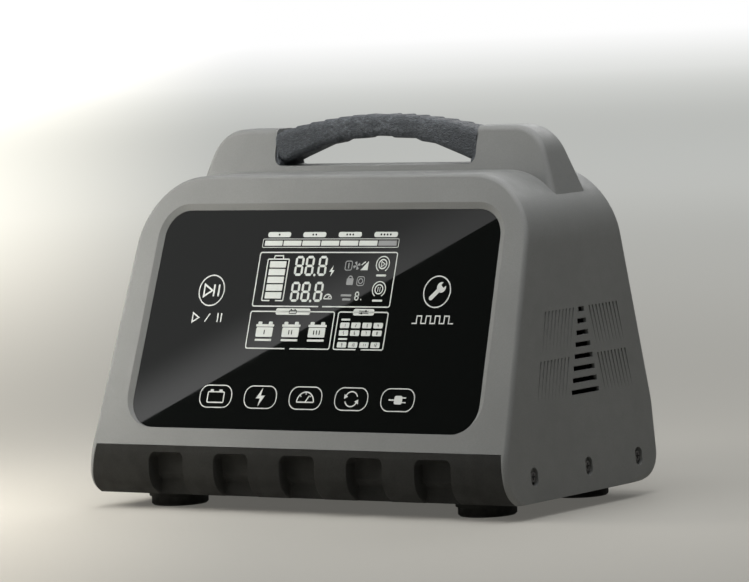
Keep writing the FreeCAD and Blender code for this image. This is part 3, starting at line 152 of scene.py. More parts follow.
class NotchLooks(PropertyGroup):
    """Shape of the five notches in the bumper."""

    pitch: length("Pitch", "Distance between the notches", 56.5)
    shift: length("Shift", "How far the row lies right of the middle", 4.0)
    width: length("Width", "Width of a notch", 30.0)
    top: length("Top", "Height of a notch's upper edge", 41.0)
    floor: length("Floor", "Depth of a notch behind the bumper's nose", 8.5)
    bend: length("Bend", "Height below which a notch's floor steps inwards", 25.5)
    under: length("Under", "How far a notch's floor steps inwards below the bend", 3.5)
    under_over: length("Under height", "Height over which the floor steps inwards", 5.0)
    corner: length("Corner radius", "Radius of a notch's upper corners", 5.5)
    wall: length("Wall", "Width over which a notch's edge rounds over", 1.6)


class WindowLooks(PropertyGroup):
    """Sizes and colours of what is printed on the window and lit behind it."""

    glass: colour("Window", "black window", (0.0035, 0.0042, 0.0038))
    ink: colour("Ink", "printed signs", (0.62, 0.64, 0.62))
    lit: colour("Lit segments", "lit parts of the display", (0.62, 0.65, 0.62))
    unlit: colour("Unlit segments", "display's unlit parts", (0.3, 0.31, 0.31))
    film: length("Ink film", "Thickness of the printed film", 0.05)
    line: length("Line", "Width of a printed line", 0.7)
    key_pitch: length("Key pitch", "Distance between the touch keys in the row", 38.6)
    key_height: length("Key row height", "Height of the key row up the window", 83.7)
    key_width: length("Key width", "Width of a key's outline", 27.4)
    key_depth: length("Key depth", "Height of a key's outline", 15.7)
    round_key: length("Round key radius", "Radius of the two round keys", 10.9)
    round_key_reach: length("Round key reach", "Distance of a round key from the middle", 95.8)
    round_key_height: length("Round key height", "Height of the round keys up the window", 159.2)
    print_shift: length("Print shift", "How far the print lies right of the window's middle", 2.2)
    display_reach: length("Display reach", "Distance of the display's frames from the middle", 58.3)


class StageLooks(PropertyGroup):
    """Camera place, floor colours and lamp levels."""

    azimuth: angle("Azimuth", "Angle of the camera round the charger", 35.9147)
    elevation: angle("Elevation", "Angle of the camera above the floor", 4.0683)
    roll: angle("Roll", "Turn of the camera about its own axis", -2.5872)
    distance: length("Distance", "Distance of the camera from its target", 3466.0)
    focal: number("Focal length", "Focal length in millimetres", 240.3)
    target: FloatVectorProperty(name="Target", description="Point that the camera looks at",
                                default=(0.00651, 0.00339, 0.1455), unit="LENGTH", subtype="XYZ")
    floor_near: colour("Floor near", "floor round the charger", (0.385, 0.37, 0.335))
    floor_far: colour("Floor far", "floor some metres behind", (0.53, 0.54, 0.52))
    floor_lift: number("Floor lift", "Share of its own colour that a shadow keeps", 0.26,
                       subtype="FACTOR", min=0.0, max=1.0)
    front_level: number("Front level", "Light of the lamp above the front", 0.3)
    left_level: number("Left level", "Light of the low lamp on the left", 0.85)
    right_level: number("Right level", "Light of the lamp above the right", 0.42)
    rear_level: number("Rear level", "Light of the soft lamp behind", 0.4)
    top_level: number("Top level", "Light of the soft lamp overhead", 0.25)
    sky_level: number("Sky level", "Light that comes from overhead", 0.35)
    horizon_level: number("Horizon level", "Light that comes from low down", 0.03)
    glare_level: number("Glare level", "Brightness of the glare card", 1.0)


def looks_of(group):
    """The scene's settings of one group: housing, grip, notch, window or stage."""
    return getattr(bpy.context.scene, "charger_" + group)


def placed(name, data):
    """New object in the scene."""
    made = bpy.data.objects.new(name, data)
    bpy.context.scene.collection.objects.link(made)
    return made


def placed_mesh(name, mesh, material):
    """New object in the scene, made of a loose mesh, which is used up."""
    data = bpy.data.meshes.new(name)
    mesh.to_mesh(data)
    mesh.free()
    data.materials.append(material)
    return placed(name, data)


class Graph:
    """The nodes of a material or of the world."""

    def __init__(self, owner):
        owner.use_nodes = True
        self.tree = owner.node_tree
        self.tree.nodes.clear()
        self.places = self.node("TexCoord").outputs
        self.place = self.places["Object"]

    def feed(self, socket, value):
        """Link a socket to another node's output, or set it to a plain value."""
        if isinstance(value, NodeSocket):
            self.tree.links.new(value, socket)
        else:
            socket.default_value = value

    def node(self, kind, sockets=None, **values):
        """New node, with what its sockets are fed and what it is set to."""
        made = self.tree.nodes.new("ShaderNode" + kind)
        for name, value in values.items():
            setattr(made, name, value)
        for socket, value in (sockets or {}).items():
            self.feed(made.inputs[socket], value)
        return made

    def along(self, direction):
        """How far a place lies along a direction."""
        sockets = {0: self.place, 1: direction}
        return self.node("VectorMath", sockets, operation="DOT_PRODUCT").outputs["Value"]

    def spread(self, value, low, high, start=0.0, end=1.0):
        """value between low and high, mapped onto start to end."""
        sockets = {"Value": value, "From Min": low, "From Max": high, "To Min": start, "To Max": end}
        return self.node("MapRange", sockets, interpolation_type="SMOOTHSTEP").outputs["Result"]

    def mix(self, value, low, high, blend="MIX"):
        """Two colours blended by value."""
        sockets = {0: value, 6: low, 7: high}
        return self.node("Mix", sockets, data_type="RGBA", blend_type=blend).outputs[2]


class Finish(Graph):
    """A procedural material: one shader and the texture nodes that feed it."""

    def __init__(self, name, base, roughness, **sockets):
        self.material = bpy.data.materials.new(name)
        super().__init__(self.material)
        self.base = (*base[:3], 1.0)
        values = {socket.replace("_", " "): value for socket, value in sockets.items()}
        values.update({"Base Color": self.base, "Roughness": roughness})
        self.shader = self.node("BsdfPrincipled", values)
        self.output = self.node("OutputMaterial", {"Surface": self.shader.outputs["BSDF"]})

    def noise(self, size, detail=3.0, stretch=(1, 1, 1)):
        """Cloudy noise whose patches are about size wide, from 0 to 1."""
        scale = [1 / (size * s) for s in stretch]
        place = self.node("Mapping", {"Scale": scale, "Vector": self.place}).outputs["Vector"]
        return self.node("TexNoise", {"Scale": 1.0, "Detail": detail, "Vector": place}).outputs["Fac"]

    def cells(self, size, feature="F1"):
        """Distance to the nearest of many scattered points about size apart."""
        sockets = {"Scale": 1 / size, "Vector": self.place}
        return self.node("TexVoronoi", sockets, feature=feature).outputs["Distance"]

    def tone_and_painted_light(self, value, shade):
        """Blend the base colour towards a lighter or darker shade of itself where value is high; it gives
        random tone and patterns, and painted light and shade where value follows a relief.
        """
        socket = self.shader.inputs["Base Color"]
        below = socket.links[0].from_socket if socket.is_linked else self.base
        tone = [min(1.0, c * shade) for c in self.base[:3]] + [1.0]
        self.feed(socket, self.mix(value, below, tone))
        return self

    def clouds(self, shade, limits, *noise):
        """Mottle with noise that is spread between limits."""
        return self.tone_and_painted_light(self.spread(self.noise(*noise), *limits), shade)

    def gloss(self, roughness, *noise, limits=(0.3, 0.7)):
        """Let noise drive the roughness between its two values."""
        self.feed(self.shader.inputs["Roughness"], self.spread(self.noise(*noise), *limits, *roughness))
        return self

    def soft_edges(self, share=1.0):
        """Round every edge for the light, as a mould or a press leaves it."""
        bevel = self.node("Bevel", {"Radius": looks_of("housing").bevel * share}, samples=4)
        self.feed(self.shader.inputs["Normal"], bevel.outputs["Normal"])
        return self

    def relief(self, value, depth):
        """Raise the surface by depth where value is 1."""
        normal = self.shader.inputs["Normal"]
        sockets = {"Distance": depth, "Strength": 1.0, "Height": value}
        if normal.is_linked:
            sockets["Normal"] = normal.links[0].from_socket
        self.feed(normal, self.node("Bump", sockets).outputs["Normal"])
        return self

    def grain(self, depth, *noise):
        """Relief of noise."""
        return self.relief(self.noise(*noise), depth)


def moulded_plastic(name, base, grain, depth, roughness=(0.42, 0.58), shade=1.12, sheen=0.45):
    """Satin plastic with a spark-eroded grain and a faint cloudy tone."""
    finish = Finish(name, base, roughness[0], Specular_IOR_Level=sheen).soft_edges()
    finish.clouds(shade, (0.35, 0.7, 0.0, 0.6), 0.05)
    finish.clouds(2 - shade, (0.3, 0.7, 0.0, 0.5), grain * 1.5, 1.0)
    finish.gloss(roughness, 0.012).grain(depth, grain, 2.0)
    return finish.relief(finish.cells(grain * 0.8), depth * 0.6).material


def creased_rubber(name, base, grain):
    """Rubber with slanting leathery creases, painted light on their ridges and painted shade in their
    hollows, and a fine dull grain.
    """
    finish = Finish(name, base, 0.6, Specular_IOR_Level=0.4).soft_edges()
    creases = finish.noise(grain, 3.0, (1.5, 1.0, 0.9))
    # Painted highlight on the crease ridges and painted shade in their hollows, from the same noise as
    # the relief.
    finish.tone_and_painted_light(finish.spread(creases, 0.5, 0.7), 1.7)
    finish.tone_and_painted_light(finish.spread(creases, 0.46, 0.32), 0.55)
    finish.clouds(0.75, (0.4, 0.7, 0.0, 0.7), 0.03)
    finish.gloss((0.45, 0.7), grain * 2).relief(creases, grain * 0.6)
    pits = finish.spread(finish.cells(grain * 0.9, "DISTANCE_TO_EDGE"), 0.0, 0.25)
    return finish.relief(pits, grain * 0.12).material


def smooth_rubber(name, base):
    """Plain rubber with a dusty bloom."""
    finish = Finish(name, base, 0.7, Specular_IOR_Level=0.35).soft_edges()
    finish.clouds(1.6, (0.45, 0.75, 0.0, 0.8), 0.006)
    return finish.gloss((0.6, 0.85), 0.004).grain(0.00003, 0.0008, 2.0).material


def glossy_sheet(name, base, roughness=0.006):
    """Polished acrylic with the faintest ripple and a little dust."""
    finish = Finish(name, base, roughness)
    finish.clouds(3.0, (0.74, 0.8, 0.0, 0.6), 0.0006, 1.0)
    return finish.gloss((roughness, roughness + 0.008), 0.02).grain(0.000002, 0.05, 1.0).material


def coated_steel(name, base, grain=0.0007):
    """Sheet steel under a fine orange-peel powder coat."""
    finish = Finish(name, base, 0.5).soft_edges(0.6)
    finish.clouds(2.2, (0.55, 0.75, 0.0, 0.8), grain, 1.0).gloss((0.38, 0.55), 0.01)
    return finish.relief(finish.cells(grain * 1.4), 0.00006).grain(0.00005, grain * 3, 2.0).material


def bare_metal(name, base, roughness=(0.2, 0.38), stretch=(1, 1, 1), scale=0.004):
    """Plated or machined metal with soft scuffs."""
    finish = Finish(name, base, roughness[0], Metallic=1.0).soft_edges(0.4)
    finish.clouds(0.75, (0.4, 0.75), scale, 4.0, stretch).gloss(roughness, scale * 0.6, 4.0, stretch)
    return finish.grain(0.00001, scale * 0.3, 2.0, stretch).material


def plain_plastic(name, base, roughness=(0.3, 0.45)):
    """Small moulded part: satin plastic with a light flow pattern."""
    finish = Finish(name, base, roughness[0]).soft_edges(0.6)
    finish.clouds(1.2, (0.4, 0.7, 0.0, 0.7), 0.008)
    return finish.gloss(roughness, 0.005).grain(0.00002, 0.0008, 2.0).material


def wound_wire(name, base, pitch=0.0012):
    """Enamelled wire laid in tight turns."""
    finish = Finish(name, base, 0.28, Metallic=0.85, Coat_Weight=0.6, Coat_Roughness=0.12)
    finish.clouds(0.6, (0.4, 0.7), 0.002)
    sockets = {"Scale": 1 / (pitch * 3.2), "Distortion": 0.6, "Vector": finish.place}
    turns = finish.node("TexWave", sockets, wave_type="BANDS", bands_direction="Z")
    return finish.relief(turns.outputs["Fac"], pitch * 0.3).material


def circuit_board(name):
    """Green solder mask over fibre, with lighter copper areas below it."""
    finish = Finish(name, (0.012, 0.11, 0.045), 0.3, Coat_Weight=0.4, Coat_Roughness=0.2)
    sockets = {"Scale": 60.0, "Mortar Size": 0.03, "Color1": (0, 0, 0, 1), "Color2": (1, 1, 1, 1),
               "Mortar": (0.4, 0.4, 0.4, 1), "Vector": finish.place}
    areas = finish.node("TexBrick", sockets, offset=0.35, squash=0.7).outputs
    finish.tone_and_painted_light(areas["Color"], 1.9).clouds(0.6, (0.5, 0.8), 0.0015)
    return finish.relief(areas["Fac"], 0.00005).material


def clear_glass(name):
    """Clear glass tube with a faint haze."""
    finish = Finish(name, (0.85, 0.9, 0.9), 0.06, Transmission_Weight=0.9, IOR=1.46)
    return finish.gloss((0.04, 0.12), 0.002, limits=(0.4, 0.8)).material


def ferrite_core(name):
    """Sintered ferrite: dark grey, dull and finely pitted."""
    finish = Finish(name, (0.035, 0.036, 0.04), 0.55, Metallic=0.2)
    return finish.clouds(1.8, (0.5, 0.8), 0.0007).grain(0.00004, 0.0005).material


def slot_finishes():
    """Material for each of the record's slots, keyed by the slot's name."""
    looks = looks_of("housing")
    grain = looks.shell_grain
    finishes = {
        "shell_grey": (moulded_plastic, looks.shell, grain, 0.00004),
        "base_black": (moulded_plastic, looks.base, grain * 1.3, 0.00006, (0.6, 0.8), 1.3, 0.3),
        "grip_rubber": (creased_rubber, looks.grip, looks.grip_grain),
        "foot_rubber": (smooth_rubber, looks.foot),
        "tape_black": (smooth_rubber, (0.015, 0.015, 0.015)),
        "window_black": (glossy_sheet, looks_of("window").glass),
        "display_glass": (glossy_sheet, (0.02, 0.024, 0.024), 0.08),
        "cover_black": (coated_steel, looks.cover),
        "circuit_board": (circuit_board,),
        "ferrite": (ferrite_core,),
        "fuse_glass": (clear_glass,),
        "winding_copper": (wound_wire, (0.6, 0.22, 0.09)),
        "screw_steel": (bare_metal, (0.62, 0.62, 0.6)),
        "screw_black": (bare_metal, (0.15, 0.15, 0.15), (0.4, 0.6)),
        "spring_steel": (bare_metal, (0.55, 0.55, 0.55)),
        "pin_metal": (bare_metal, (0.72, 0.7, 0.66), (0.15, 0.3)),
        "contact_brass": (bare_metal, (0.75, 0.55, 0.25)),
        "heat_sink_metal": (bare_metal, (0.7, 0.71, 0.72), (0.3, 0.45), (1, 12, 1)),
        "device_black": (plain_plastic, (0.02, 0.02, 0.021)),
        "ribbon_grey": (plain_plastic, (0.45, 0.45, 0.44), (0.4, 0.6)),
        "fan_black": (plain_plastic, (0.018, 0.018, 0.019), (0.35, 0.5)),
        "lead_insulation": (plain_plastic, (0.03, 0.03, 0.032), (0.45, 0.6)),
        "inlet_black": (plain_plastic, (0.016, 0.016, 0.017)),
        "rocker_black": (plain_plastic, (0.02, 0.02, 0.021), (0.22, 0.35)),
        "socket_red": (plain_plastic, (0.5, 0.012, 0.01), (0.25, 0.4)),
        "socket_black": (plain_plastic, (0.014, 0.014, 0.015), (0.25, 0.4)),
        "winding_tape": (plain_plastic, (0.65, 0.45, 0.05)),
        "can_sleeve": (plain_plastic, (0.02, 0.025, 0.06), (0.2, 0.35)),
    }
    return {slot: make(slot, *values) for slot, (make, *values) in finishes.items()}


def ink_finish(name, base, roughness):
    """Printed or lit film that lies in the window's own gloss."""
    finish = Finish(name, base, roughness)
    finish.clouds(0.86, (0.5, 0.85, 0.0, 0.5), 0.0012, 2.0)
    return finish.gloss((roughness, roughness + 0.06), 0.02).material


def around(centre, radius, degrees):
    """Point at an angle round a centre."""
    turn = radians(degrees)
    return centre[0] + radius * cos(turn), centre[1] + radius * sin(turn)


def arc(centre, radius, start, end, steps=12):
    """Points on an arc, angles in degrees."""
    return [around(centre, radius, start + (end - start) * i / steps) for i in range(steps + 1)]


def circle(centre, radius, steps=40):
    return arc(centre, radius, 0, 360, steps)[:-1]


def round_box(centre, width, height, radius, steps=6):
    """Rounded rectangle, anticlockwise from the middle of its bottom side."""
    u, v = width / 2 - radius, height / 2 - radius
    points = [(centre[0], centre[1] - height / 2)]
    for angle, (side, end) in zip((270, 0, 90, 180), ((1, -1), (1, 1), (-1, 1), (-1, -1))):
        points += arc((centre[0] + side * u, centre[1] + end * v), radius, angle, angle + 90, steps)
    return points


def turned(points, centre, degrees, scale=1.0):
    """Points given about the origin, turned, scaled and moved to a centre."""
    angle = radians(degrees)
    c, s = cos(angle) * scale, sin(angle) * scale
    return [(centre[0] + u * c - v * s, centre[1] + u * s + v * c) for u, v in points]


def left_of(direction):
    return Vector((-direction.y, direction.x))


class Ink:
    """Flat marks on a plane, in millimetres of its u and v, gathered into one thin mesh."""

    SAME_PLACE = 0.0001
    SHARPEST = 0.3

    def __init__(self, plane, lift=0.0, shift=0.0):
        self.plane, self.lift, self.shift = plane, lift, shift
        self.mesh = bmesh.new()

    def area(self, points):
        """Filled outline."""
        corners = [self.mesh.verts.new(self.plane.point(u * MM + self.shift, v * MM, self.lift))
                   for u, v in points]
        face = self.mesh.faces.new(corners)
        if len(points) > 4:
            bmesh.ops.triangulate(self.mesh, faces=[face])

    def line(self, points, width, closed=False):
        """Ribbon along a path, mitred at its corners."""
        path = [Vector(p) for p in points]
        path = [p for i, p in enumerate(path) if i == 0 or (p - path[i - 1]).length > self.SAME_PLACE]
        if closed and (path[0] - path[-1]).length < self.SAME_PLACE:
            path.pop()
        count = len(path)
        runs = [(path[(i + 1) % count] - here).normalized() for i, here in enumerate(path)]
        edges = []
        for i, here in enumerate(path):
            enters = runs[i - 1] if closed or i else runs[0]
            leaves = runs[i] if closed or i < count - 1 else enters
            side = left_of(enters + leaves).normalized()
            reach = width / 2 / max(self.SHARPEST, side.dot(left_of(enters)))
            edges.append((here + side * reach, here - side * reach))
        for i in range(count if closed else count - 1):
            left, right = edges[i], edges[(i + 1) % count]
            self.area([left[0], left[1], right[1], right[0]])

    def ring(self, centre, radius, width):
        self.line(circle(centre, radius), width, closed=True)

    def dot(self, centre, radius, steps=14):
        self.area(circle(centre, radius, steps))

    def bar(self, centre, width, height, radius, steps=3):
        """Filled rounded rectangle."""
        self.area(round_box(centre, width, height, radius, steps))

    def outline(self, centre, width, height, radius, stroke, steps=6):
        """Line along a rounded rectangle."""
        self.line(round_box(centre, width, height, radius, steps), stroke, closed=True)

    def piece(self, name, colour, roughness=0.12):
        """The finished film, lying on the plane and riding on the body."""
        bmesh.ops.recalc_face_normals(self.mesh, faces=self.mesh.faces)
        for face in self.mesh.faces:
            if face.normal.dot(self.plane.normal) < 0:
                face.normal_flip()
        piece = placed_mesh(name, self.mesh, ink_finish(name, colour, roughness))
        film = piece.modifiers.new("film", "SOLIDIFY")
        film.thickness = looks_of("window").film
        film.offset = 1.0
        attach(piece, BODY)


def segment_digit(ink, centre, width, height, stroke, shown="abcdefg"):
    """Seven-segment numeral made of bars with pointed ends."""
    u, v = (width - stroke) / 2, (height - stroke) / 2
    ends = {"a": (-u, v, u, v), "b": (u, v, u, 0), "c": (u, 0, u, -v), "d": (-u, -v, u, -v),
            "e": (-u, 0, -u, -v), "f": (-u, v, -u, 0), "g": (-u, 0, u, 0)}
    for name in shown:
        start, end = Vector(ends[name][:2]), Vector(ends[name][2:])
        along = (end - start).normalized() * stroke
        start, end = start + along * 0.12, end - along * 0.12
        tip, side = along / 2, left_of(along) / 2
        outline = [start, start + tip + side, end - tip + side, end, end - tip - side, start + tip - side]
        ink.area(turned(outline, centre, 0))


def play_sign(ink, centre, size):
    """Outlined triangle that points right."""
    points = [(-0.4, -0.55), (0.5, 0.0), (-0.4, 0.55)]
    ink.line(turned(points, centre, 0, size), size * 0.16, closed=True)


def pause_sign(ink, centre, size):
    """Two upright bars."""
    for side in (-1, 1):
        ink.bar((centre[0] + side * size * 0.24, centre[1]), size * 0.16, size, size * 0.05)


def battery_sign(ink, centre, width, height, stroke):
    """Outlined battery seen from the side, with two terminals."""
    ink.outline(centre, width, height, stroke, stroke, 3)
    for side in (-1, 1):
        post = (centre[0] + side * width * 0.27, centre[1] + height / 2 + stroke)
        ink.bar(post, width * 0.2, stroke * 2, stroke * 0.3, 2)


def bolt_sign(ink, centre, size):
    """Lightning stroke."""
    points = [(0.12, 0.6), (-0.34, -0.08), (-0.02, -0.08), (-0.12, -0.6), (0.34, 0.1), (0.02, 0.1)]
    ink.area(turned(points, centre, 0, size))


def gauge_sign(ink, centre, size, stroke):
    """Half dial with a needle."""
    u, v = foot = (centre[0], centre[1] - size * 0.3)
    reach = size * 0.75
    ink.line(arc(foot, reach, 0, 180, 16), stroke)
    ink.line([(u - reach, v), (u + reach, v)], stroke)
    ink.line([foot, (u + size * 0.32, v + size * 0.48)], stroke)
    for angle in (45, 90, 135):
        ink.line([around(foot, size * 0.56, angle), around(foot, reach, angle)], stroke * 0.8)


def cycle_sign(ink, centre, size, stroke):
    """Two arrows that chase each other round a ring."""
    for start in (20, 200):
        end = start + 130
        ink.line(arc(centre, size * 0.55, start, end), stroke)
        head = [(-0.2, 0.0), (0.2, 0.0), (0.0, 0.3)]
        ink.area(turned(head, around(centre, size * 0.55, end), end, size))


def plug_sign(ink, centre, size, stroke):
    """Plug with two pins and its lead."""
    u, v = centre
    ink.bar((u + size * 0.05, v), size * 0.7, size * 0.62, size * 0.14, 4)
    for side in (-1, 1):
        ink.bar((u + size * 0.55, v + side * size * 0.17), size * 0.34, stroke, stroke * 0.3, 2)
    ink.line([(u - size * 0.3, v), (u - size * 0.78, v)], stroke * 1.2)


def wrench_sign(ink, centre, size):
    """Open-ended wrench that points up to the right."""
    jaw = arc((0, 0.5), 0.42, 62, -242, 24)
    ink.area(turned(jaw + [(-0.17, 0.6), (0.17, 0.6)], centre, -45, size))
    handle = [(-0.18, 0.25), (-0.18, -0.7)] + arc((0, -0.7), 0.18, 180, 360, 8) + [(0.18, 0.25)]
    ink.area(turned(handle, centre, -45, size))


def pulse_sign(ink, centre, width, height, stroke):
    """Train of square pulses."""
    count = 4
    pitch = width / (count + 0.5)
    u, low, high = centre[0] - width / 2, centre[1] - height / 2, centre[1] + height / 2
    path = [(u, low)]
    for i in range(count):
        left = u + pitch * (i + 0.5)
        path += [(left, low), (left, high), (left + pitch / 2, high), (left + pitch / 2, low)]
    path.append((u + width, low))
    ink.line(path, stroke)


def open_box(ink, left, right, low, high, gap, radius=1.5):
    """Rounded frame whose bottom line is broken between two places."""
    corners = round_box(((left + right) / 2, (low + high) / 2), right - left, high - low, radius)[1:]
    ink.line([(gap[1], low)] + corners + [(gap[0], low)], FRAME_LINE)


def window_sizes(*names):
    """Sizes of what is on the window, in millimetres."""
    return [getattr(looks_of("window"), name) / MM for name in names]


def touch_keys(ink):
    """Row of five keys and the two round keys, each with its sign."""
    pitch, row, width, depth = window_sizes("key_pitch", "key_height", "key_width", "key_depth")
    radius, reach, height, line = window_sizes("round_key", "round_key_reach", "round_key_height", "line")
    thick = line * 1.2
    keys = [((i - 2) * pitch, row) for i in range(5)]
    for key in keys:
        ink.outline(key, width, depth, depth * 0.44, line, 10)
    battery_sign(ink, (keys[0][0], row - 0.6), 14, 7.5, thick)
    bolt_sign(ink, keys[1], 11)
    for key, sign in zip(keys[2:], (gauge_sign, cycle_sign, plug_sign)):
        sign(ink, key, 9.5, thick)
    for side in (-1, 1):
        ink.ring((side * reach, height), radius, line * 1.25)
    play_sign(ink, (-reach - 3.3, height), 7.8)
    pause_sign(ink, (-reach + 4.2, height), 8.6)
    wrench_sign(ink, (reach, height), 8.8)
    caption = height - 19.5
    play_sign(ink, (-reach - 10.5, caption), 6)
    ink.line([(-reach - 2, caption - 3), (-reach + 2, caption + 3)], thick)
    pause_sign(ink, (-reach + 10.5, caption), 6.4)
    pulse_sign(ink, (reach, caption), 34, 5.2, thick)


# Layout of the display, in millimetres of the window's u and v.
STATUS_LOW, STATUS_HIGH = 190.2, 196.2
MAIN_LOW, MAIN_HIGH = 148.2, 186.6
LEVEL_LOW, LEVEL_HIGH = 152.2, 181.8
LEVEL_PLACE, LEVEL_HALF = -41.8, 9.1
LOWER_LOW, LOWER_HIGH = 118.2, 144.5
FRAME_LINE = 0.85
PILLS = [(-44.5 + i * 30.2, 199.3) for i in range(4)]
BATTERIES = [(-44.3 + i * 22.4, 129.8) for i in range(3)]
CHIPS = [(23.4 + i * 9.35, row) for row in (135.2, 129.8, 121.5) for i in range(4)]
BATTERY_TITLE, CHIP_TITLE = (-22.4, LOWER_HIGH), (37.6, LOWER_HIGH)


def status_bar(lit, unlit, reach):
    """Seven cells in a row, the last one unlit, with four pills above them."""
    middle = (STATUS_LOW + STATUS_HIGH) / 2
    lit.outline((0, middle), 2 * reach - 1, STATUS_HIGH - STATUS_LOW, 0.8, 0.45, 3)
    pitch = (2 * reach - 3.5) / 7
    for i, ink in enumerate([lit] * 6 + [unlit]):
        ink.bar((-reach + 1.75 + pitch * (i + 0.5), middle), pitch - 0.9, 3.6, 0.3, 2)
    for pill in PILLS:
        lit.bar(pill, 19.6, 3.7, 1.5, 5)


def readings(lit, unlit, reach):
    """Battery level, the two three-figure readings, small signs and the two round signs."""
    open_box(lit, -reach, reach, MAIN_LOW, MAIN_HIGH, (-1.6, 1.8))
    open_box(lit, LEVEL_PLACE - LEVEL_HALF, LEVEL_PLACE + LEVEL_HALF, LEVEL_LOW, LEVEL_HIGH,
             (LEVEL_PLACE - 2.4, LEVEL_PLACE + 2.4), 0.8)
    terminal = [(-4, 0), (-3.6, 2.4), (3.6, 2.4), (4, 0)]
    lit.line(turned(terminal, (LEVEL_PLACE, LEVEL_HIGH), 0), FRAME_LINE)
    pitch = (LEVEL_HIGH - LEVEL_LOW - 2) / 5
    for i in range(5):
        lit.bar((LEVEL_PLACE, LEVEL_LOW + 1 + pitch * (i + 0.5)), 14, pitch - 1, 0.3, 2)
    upper, lower = 177.0, 158.6
    for height in (upper, lower):
        for u in (-23.3, -14.4, -3.4):
            segment_digit(lit, (u, height), 7.4, 14.2, 1.75)
        lit.dot((-9.2, height - 6.5), 0.95, 16)
    bolt_sign(lit, (5.2, upper - 3.6), 6.5)
    gauge_sign(lit, (5.2, lower - 3.6), 4.2, 0.8)
    small_signs(unlit, lit)
    for height, sign, shift in ((178.4, play_sign, 0.3), (160.7, pause_sign, 0)):
        centre = (47.3, height)
        lit.line(arc(centre, 5.4, -60, 240, 36), 0.75)
        lit.ring(centre, 3.2, 0.9)
        sign(lit, (centre[0] + shift, height), 3.4)
        lit.bar((centre[0], height - 8), 8.5, 1.4, 0.6)


def small_signs(unlit, lit):
    """Thermometer, fan, clip, lock and timer, mostly unlit, over two bars and a small figure."""
    unlit.outline((18.8, 177.3), 5.6, 6.4, 1.4, 0.6)
    unlit.line([(18.8, 175.3), (18.8, 179.3)], 0.8)
    fan = (25.6, 177.3)
    for angle in (0, 90, 180, 270):
        unlit.area(arc(fan, 2.9, angle, angle + 45, 5) + [fan])
    lit.area([(29.2, 174.1), (35.2, 174.1), (35.2, 180.5)])
    lit.line([(29.6, 177.7), (32.6, 180.1)], 0.8)
    unlit.bar((21.8, 166.0), 5.6, 4.8, 0.8)
    unlit.line(arc((21.8, 168.2), 1.7, 0, 180, 10), 0.8)
    unlit.outline((30.8, 166.4), 6, 6.2, 1.6, 0.6)
    unlit.ring((30.8, 166.4), 1.7, 0.6)
    unlit.bar((20.4, 156.3), 9, 1.5, 0.6)
    unlit.bar((21.2, 153.4), 7, 1.5, 0.6)
    segment_digit(lit, (29.6, 155.8), 3.4, 6.2, 0.8)
    lit.dot((33.4, 153.4), 0.5, 12)


def battery_choice(lit):
    """Frame with three kinds of battery."""
    open_box(lit, -58.4, 13.2, LOWER_LOW, LOWER_HIGH, (-24.7, -20.3))
    lit.bar(BATTERY_TITLE, 29.5, 4.6, 1.6, 5)
    for u, v in BATTERIES:
        lit.bar((u, v), 14.2, 6.8, 0.8)
        lit.bar((u, v + 4.7), 15.4, 1.7, 0.5)
        for side in (-1, 1):
            lit.bar((u + side * 4.5, v + 6.4), 3.4, 2, 0.6)
        lit.bar((u, v - 5.6), 14.2, 1.5, 0.5)


def setting_choice(lit, reach):
    """Frame with three rows of chips."""
    open_box(lit, 16.6, reach, LOWER_LOW, LOWER_HIGH, (35.7, 40))
    lit.bar(CHIP_TITLE, 17.6, 4.6, 1.6, 5)
    for chip in CHIPS:
        lit.bar(chip, 7.7, 3.9, 0.7)
    for height in (139.2, 125.6):
        lit.bar((23.5, height), 7.5, 1.3, 0.5)


# Segments that show the figures 0 to 9.
FIGURES = ("abcdef", "bc", "abged", "abgcd", "fgbc", "afgcd", "afgcde", "abc", "abcdefg", "abfgcd")
# Distance of a rear sign from the middle of its socket, in millimetres.
SIGN_REACH = 20


def figures(ink, text, centre, height):
    """Small plain number, centred."""
    width = height * 0.52
    for figure, place in zip(text, row_of(len(text), centre, width * 1.45)):
        segment_digit(ink, place, width, height, height * 0.15, FIGURES[int(figure)])


def row_of(count, centre, pitch):
    """Places side by side about a centre."""
    return [(centre[0] + (i - (count - 1) / 2) * pitch, centre[1]) for i in range(count)]


def cut_signs(ink):
    """Dark signs that are left open in the lit pills, chips and batteries."""
    for i, chip in enumerate(CHIPS):
        figures(ink, str(i + 1), chip, 2.3)
    for i, pill in enumerate(PILLS):
        for place in row_of(i + 1, pill, 2.6):
            ink.dot(place, 0.75)
    battery_sign(ink, (BATTERY_TITLE[0], BATTERY_TITLE[1] - 0.3), 6, 2.2, 0.5)
    for side in (-1, 1):
        u, v = CHIP_TITLE[0], CHIP_TITLE[1] + side * 0.8
        ink.line([(u - 4, v), (u + 4, v)], 0.45)
        ink.dot((u + side * 1.8, v), 0.75)
    for i, battery in enumerate(BATTERIES):
        for place in row_of(i + 1, battery, 2.4):
            ink.bar(place, 0.8, 3.2, 0.3, 2)


def rear_signs(ink):
    """Plus, minus and mains signs printed beside the sockets and the inlet."""
    for node in ("red_output_socket", "black_output_socket"):
        u, v = on_cover(node)
        ink.bar((u, v + SIGN_REACH), 7, 1.4, 0.3)
        if node == "red_output_socket":
            for side in (-1, 1):
                ink.bar((u, v + SIGN_REACH + side * 2.1), 1.4, 2.8, 0.3)
    u, v = on_cover("mains_inlet")
    wave = [(u + (i / 8 - 1) * 4.5, v - SIGN_REACH + sin(i / 8 * pi) * 1.6) for i in range(17)]
    ink.line(wave, 1.1)


def on_cover(node):
    """Middle of a node in the rear cover's own u and v, in millimetres."""
    low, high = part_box(node)
    middle = (low + high) / 2 - COVER.foot
    return middle.dot(COVER.across) / MM, middle.dot(COVER.up) / MM


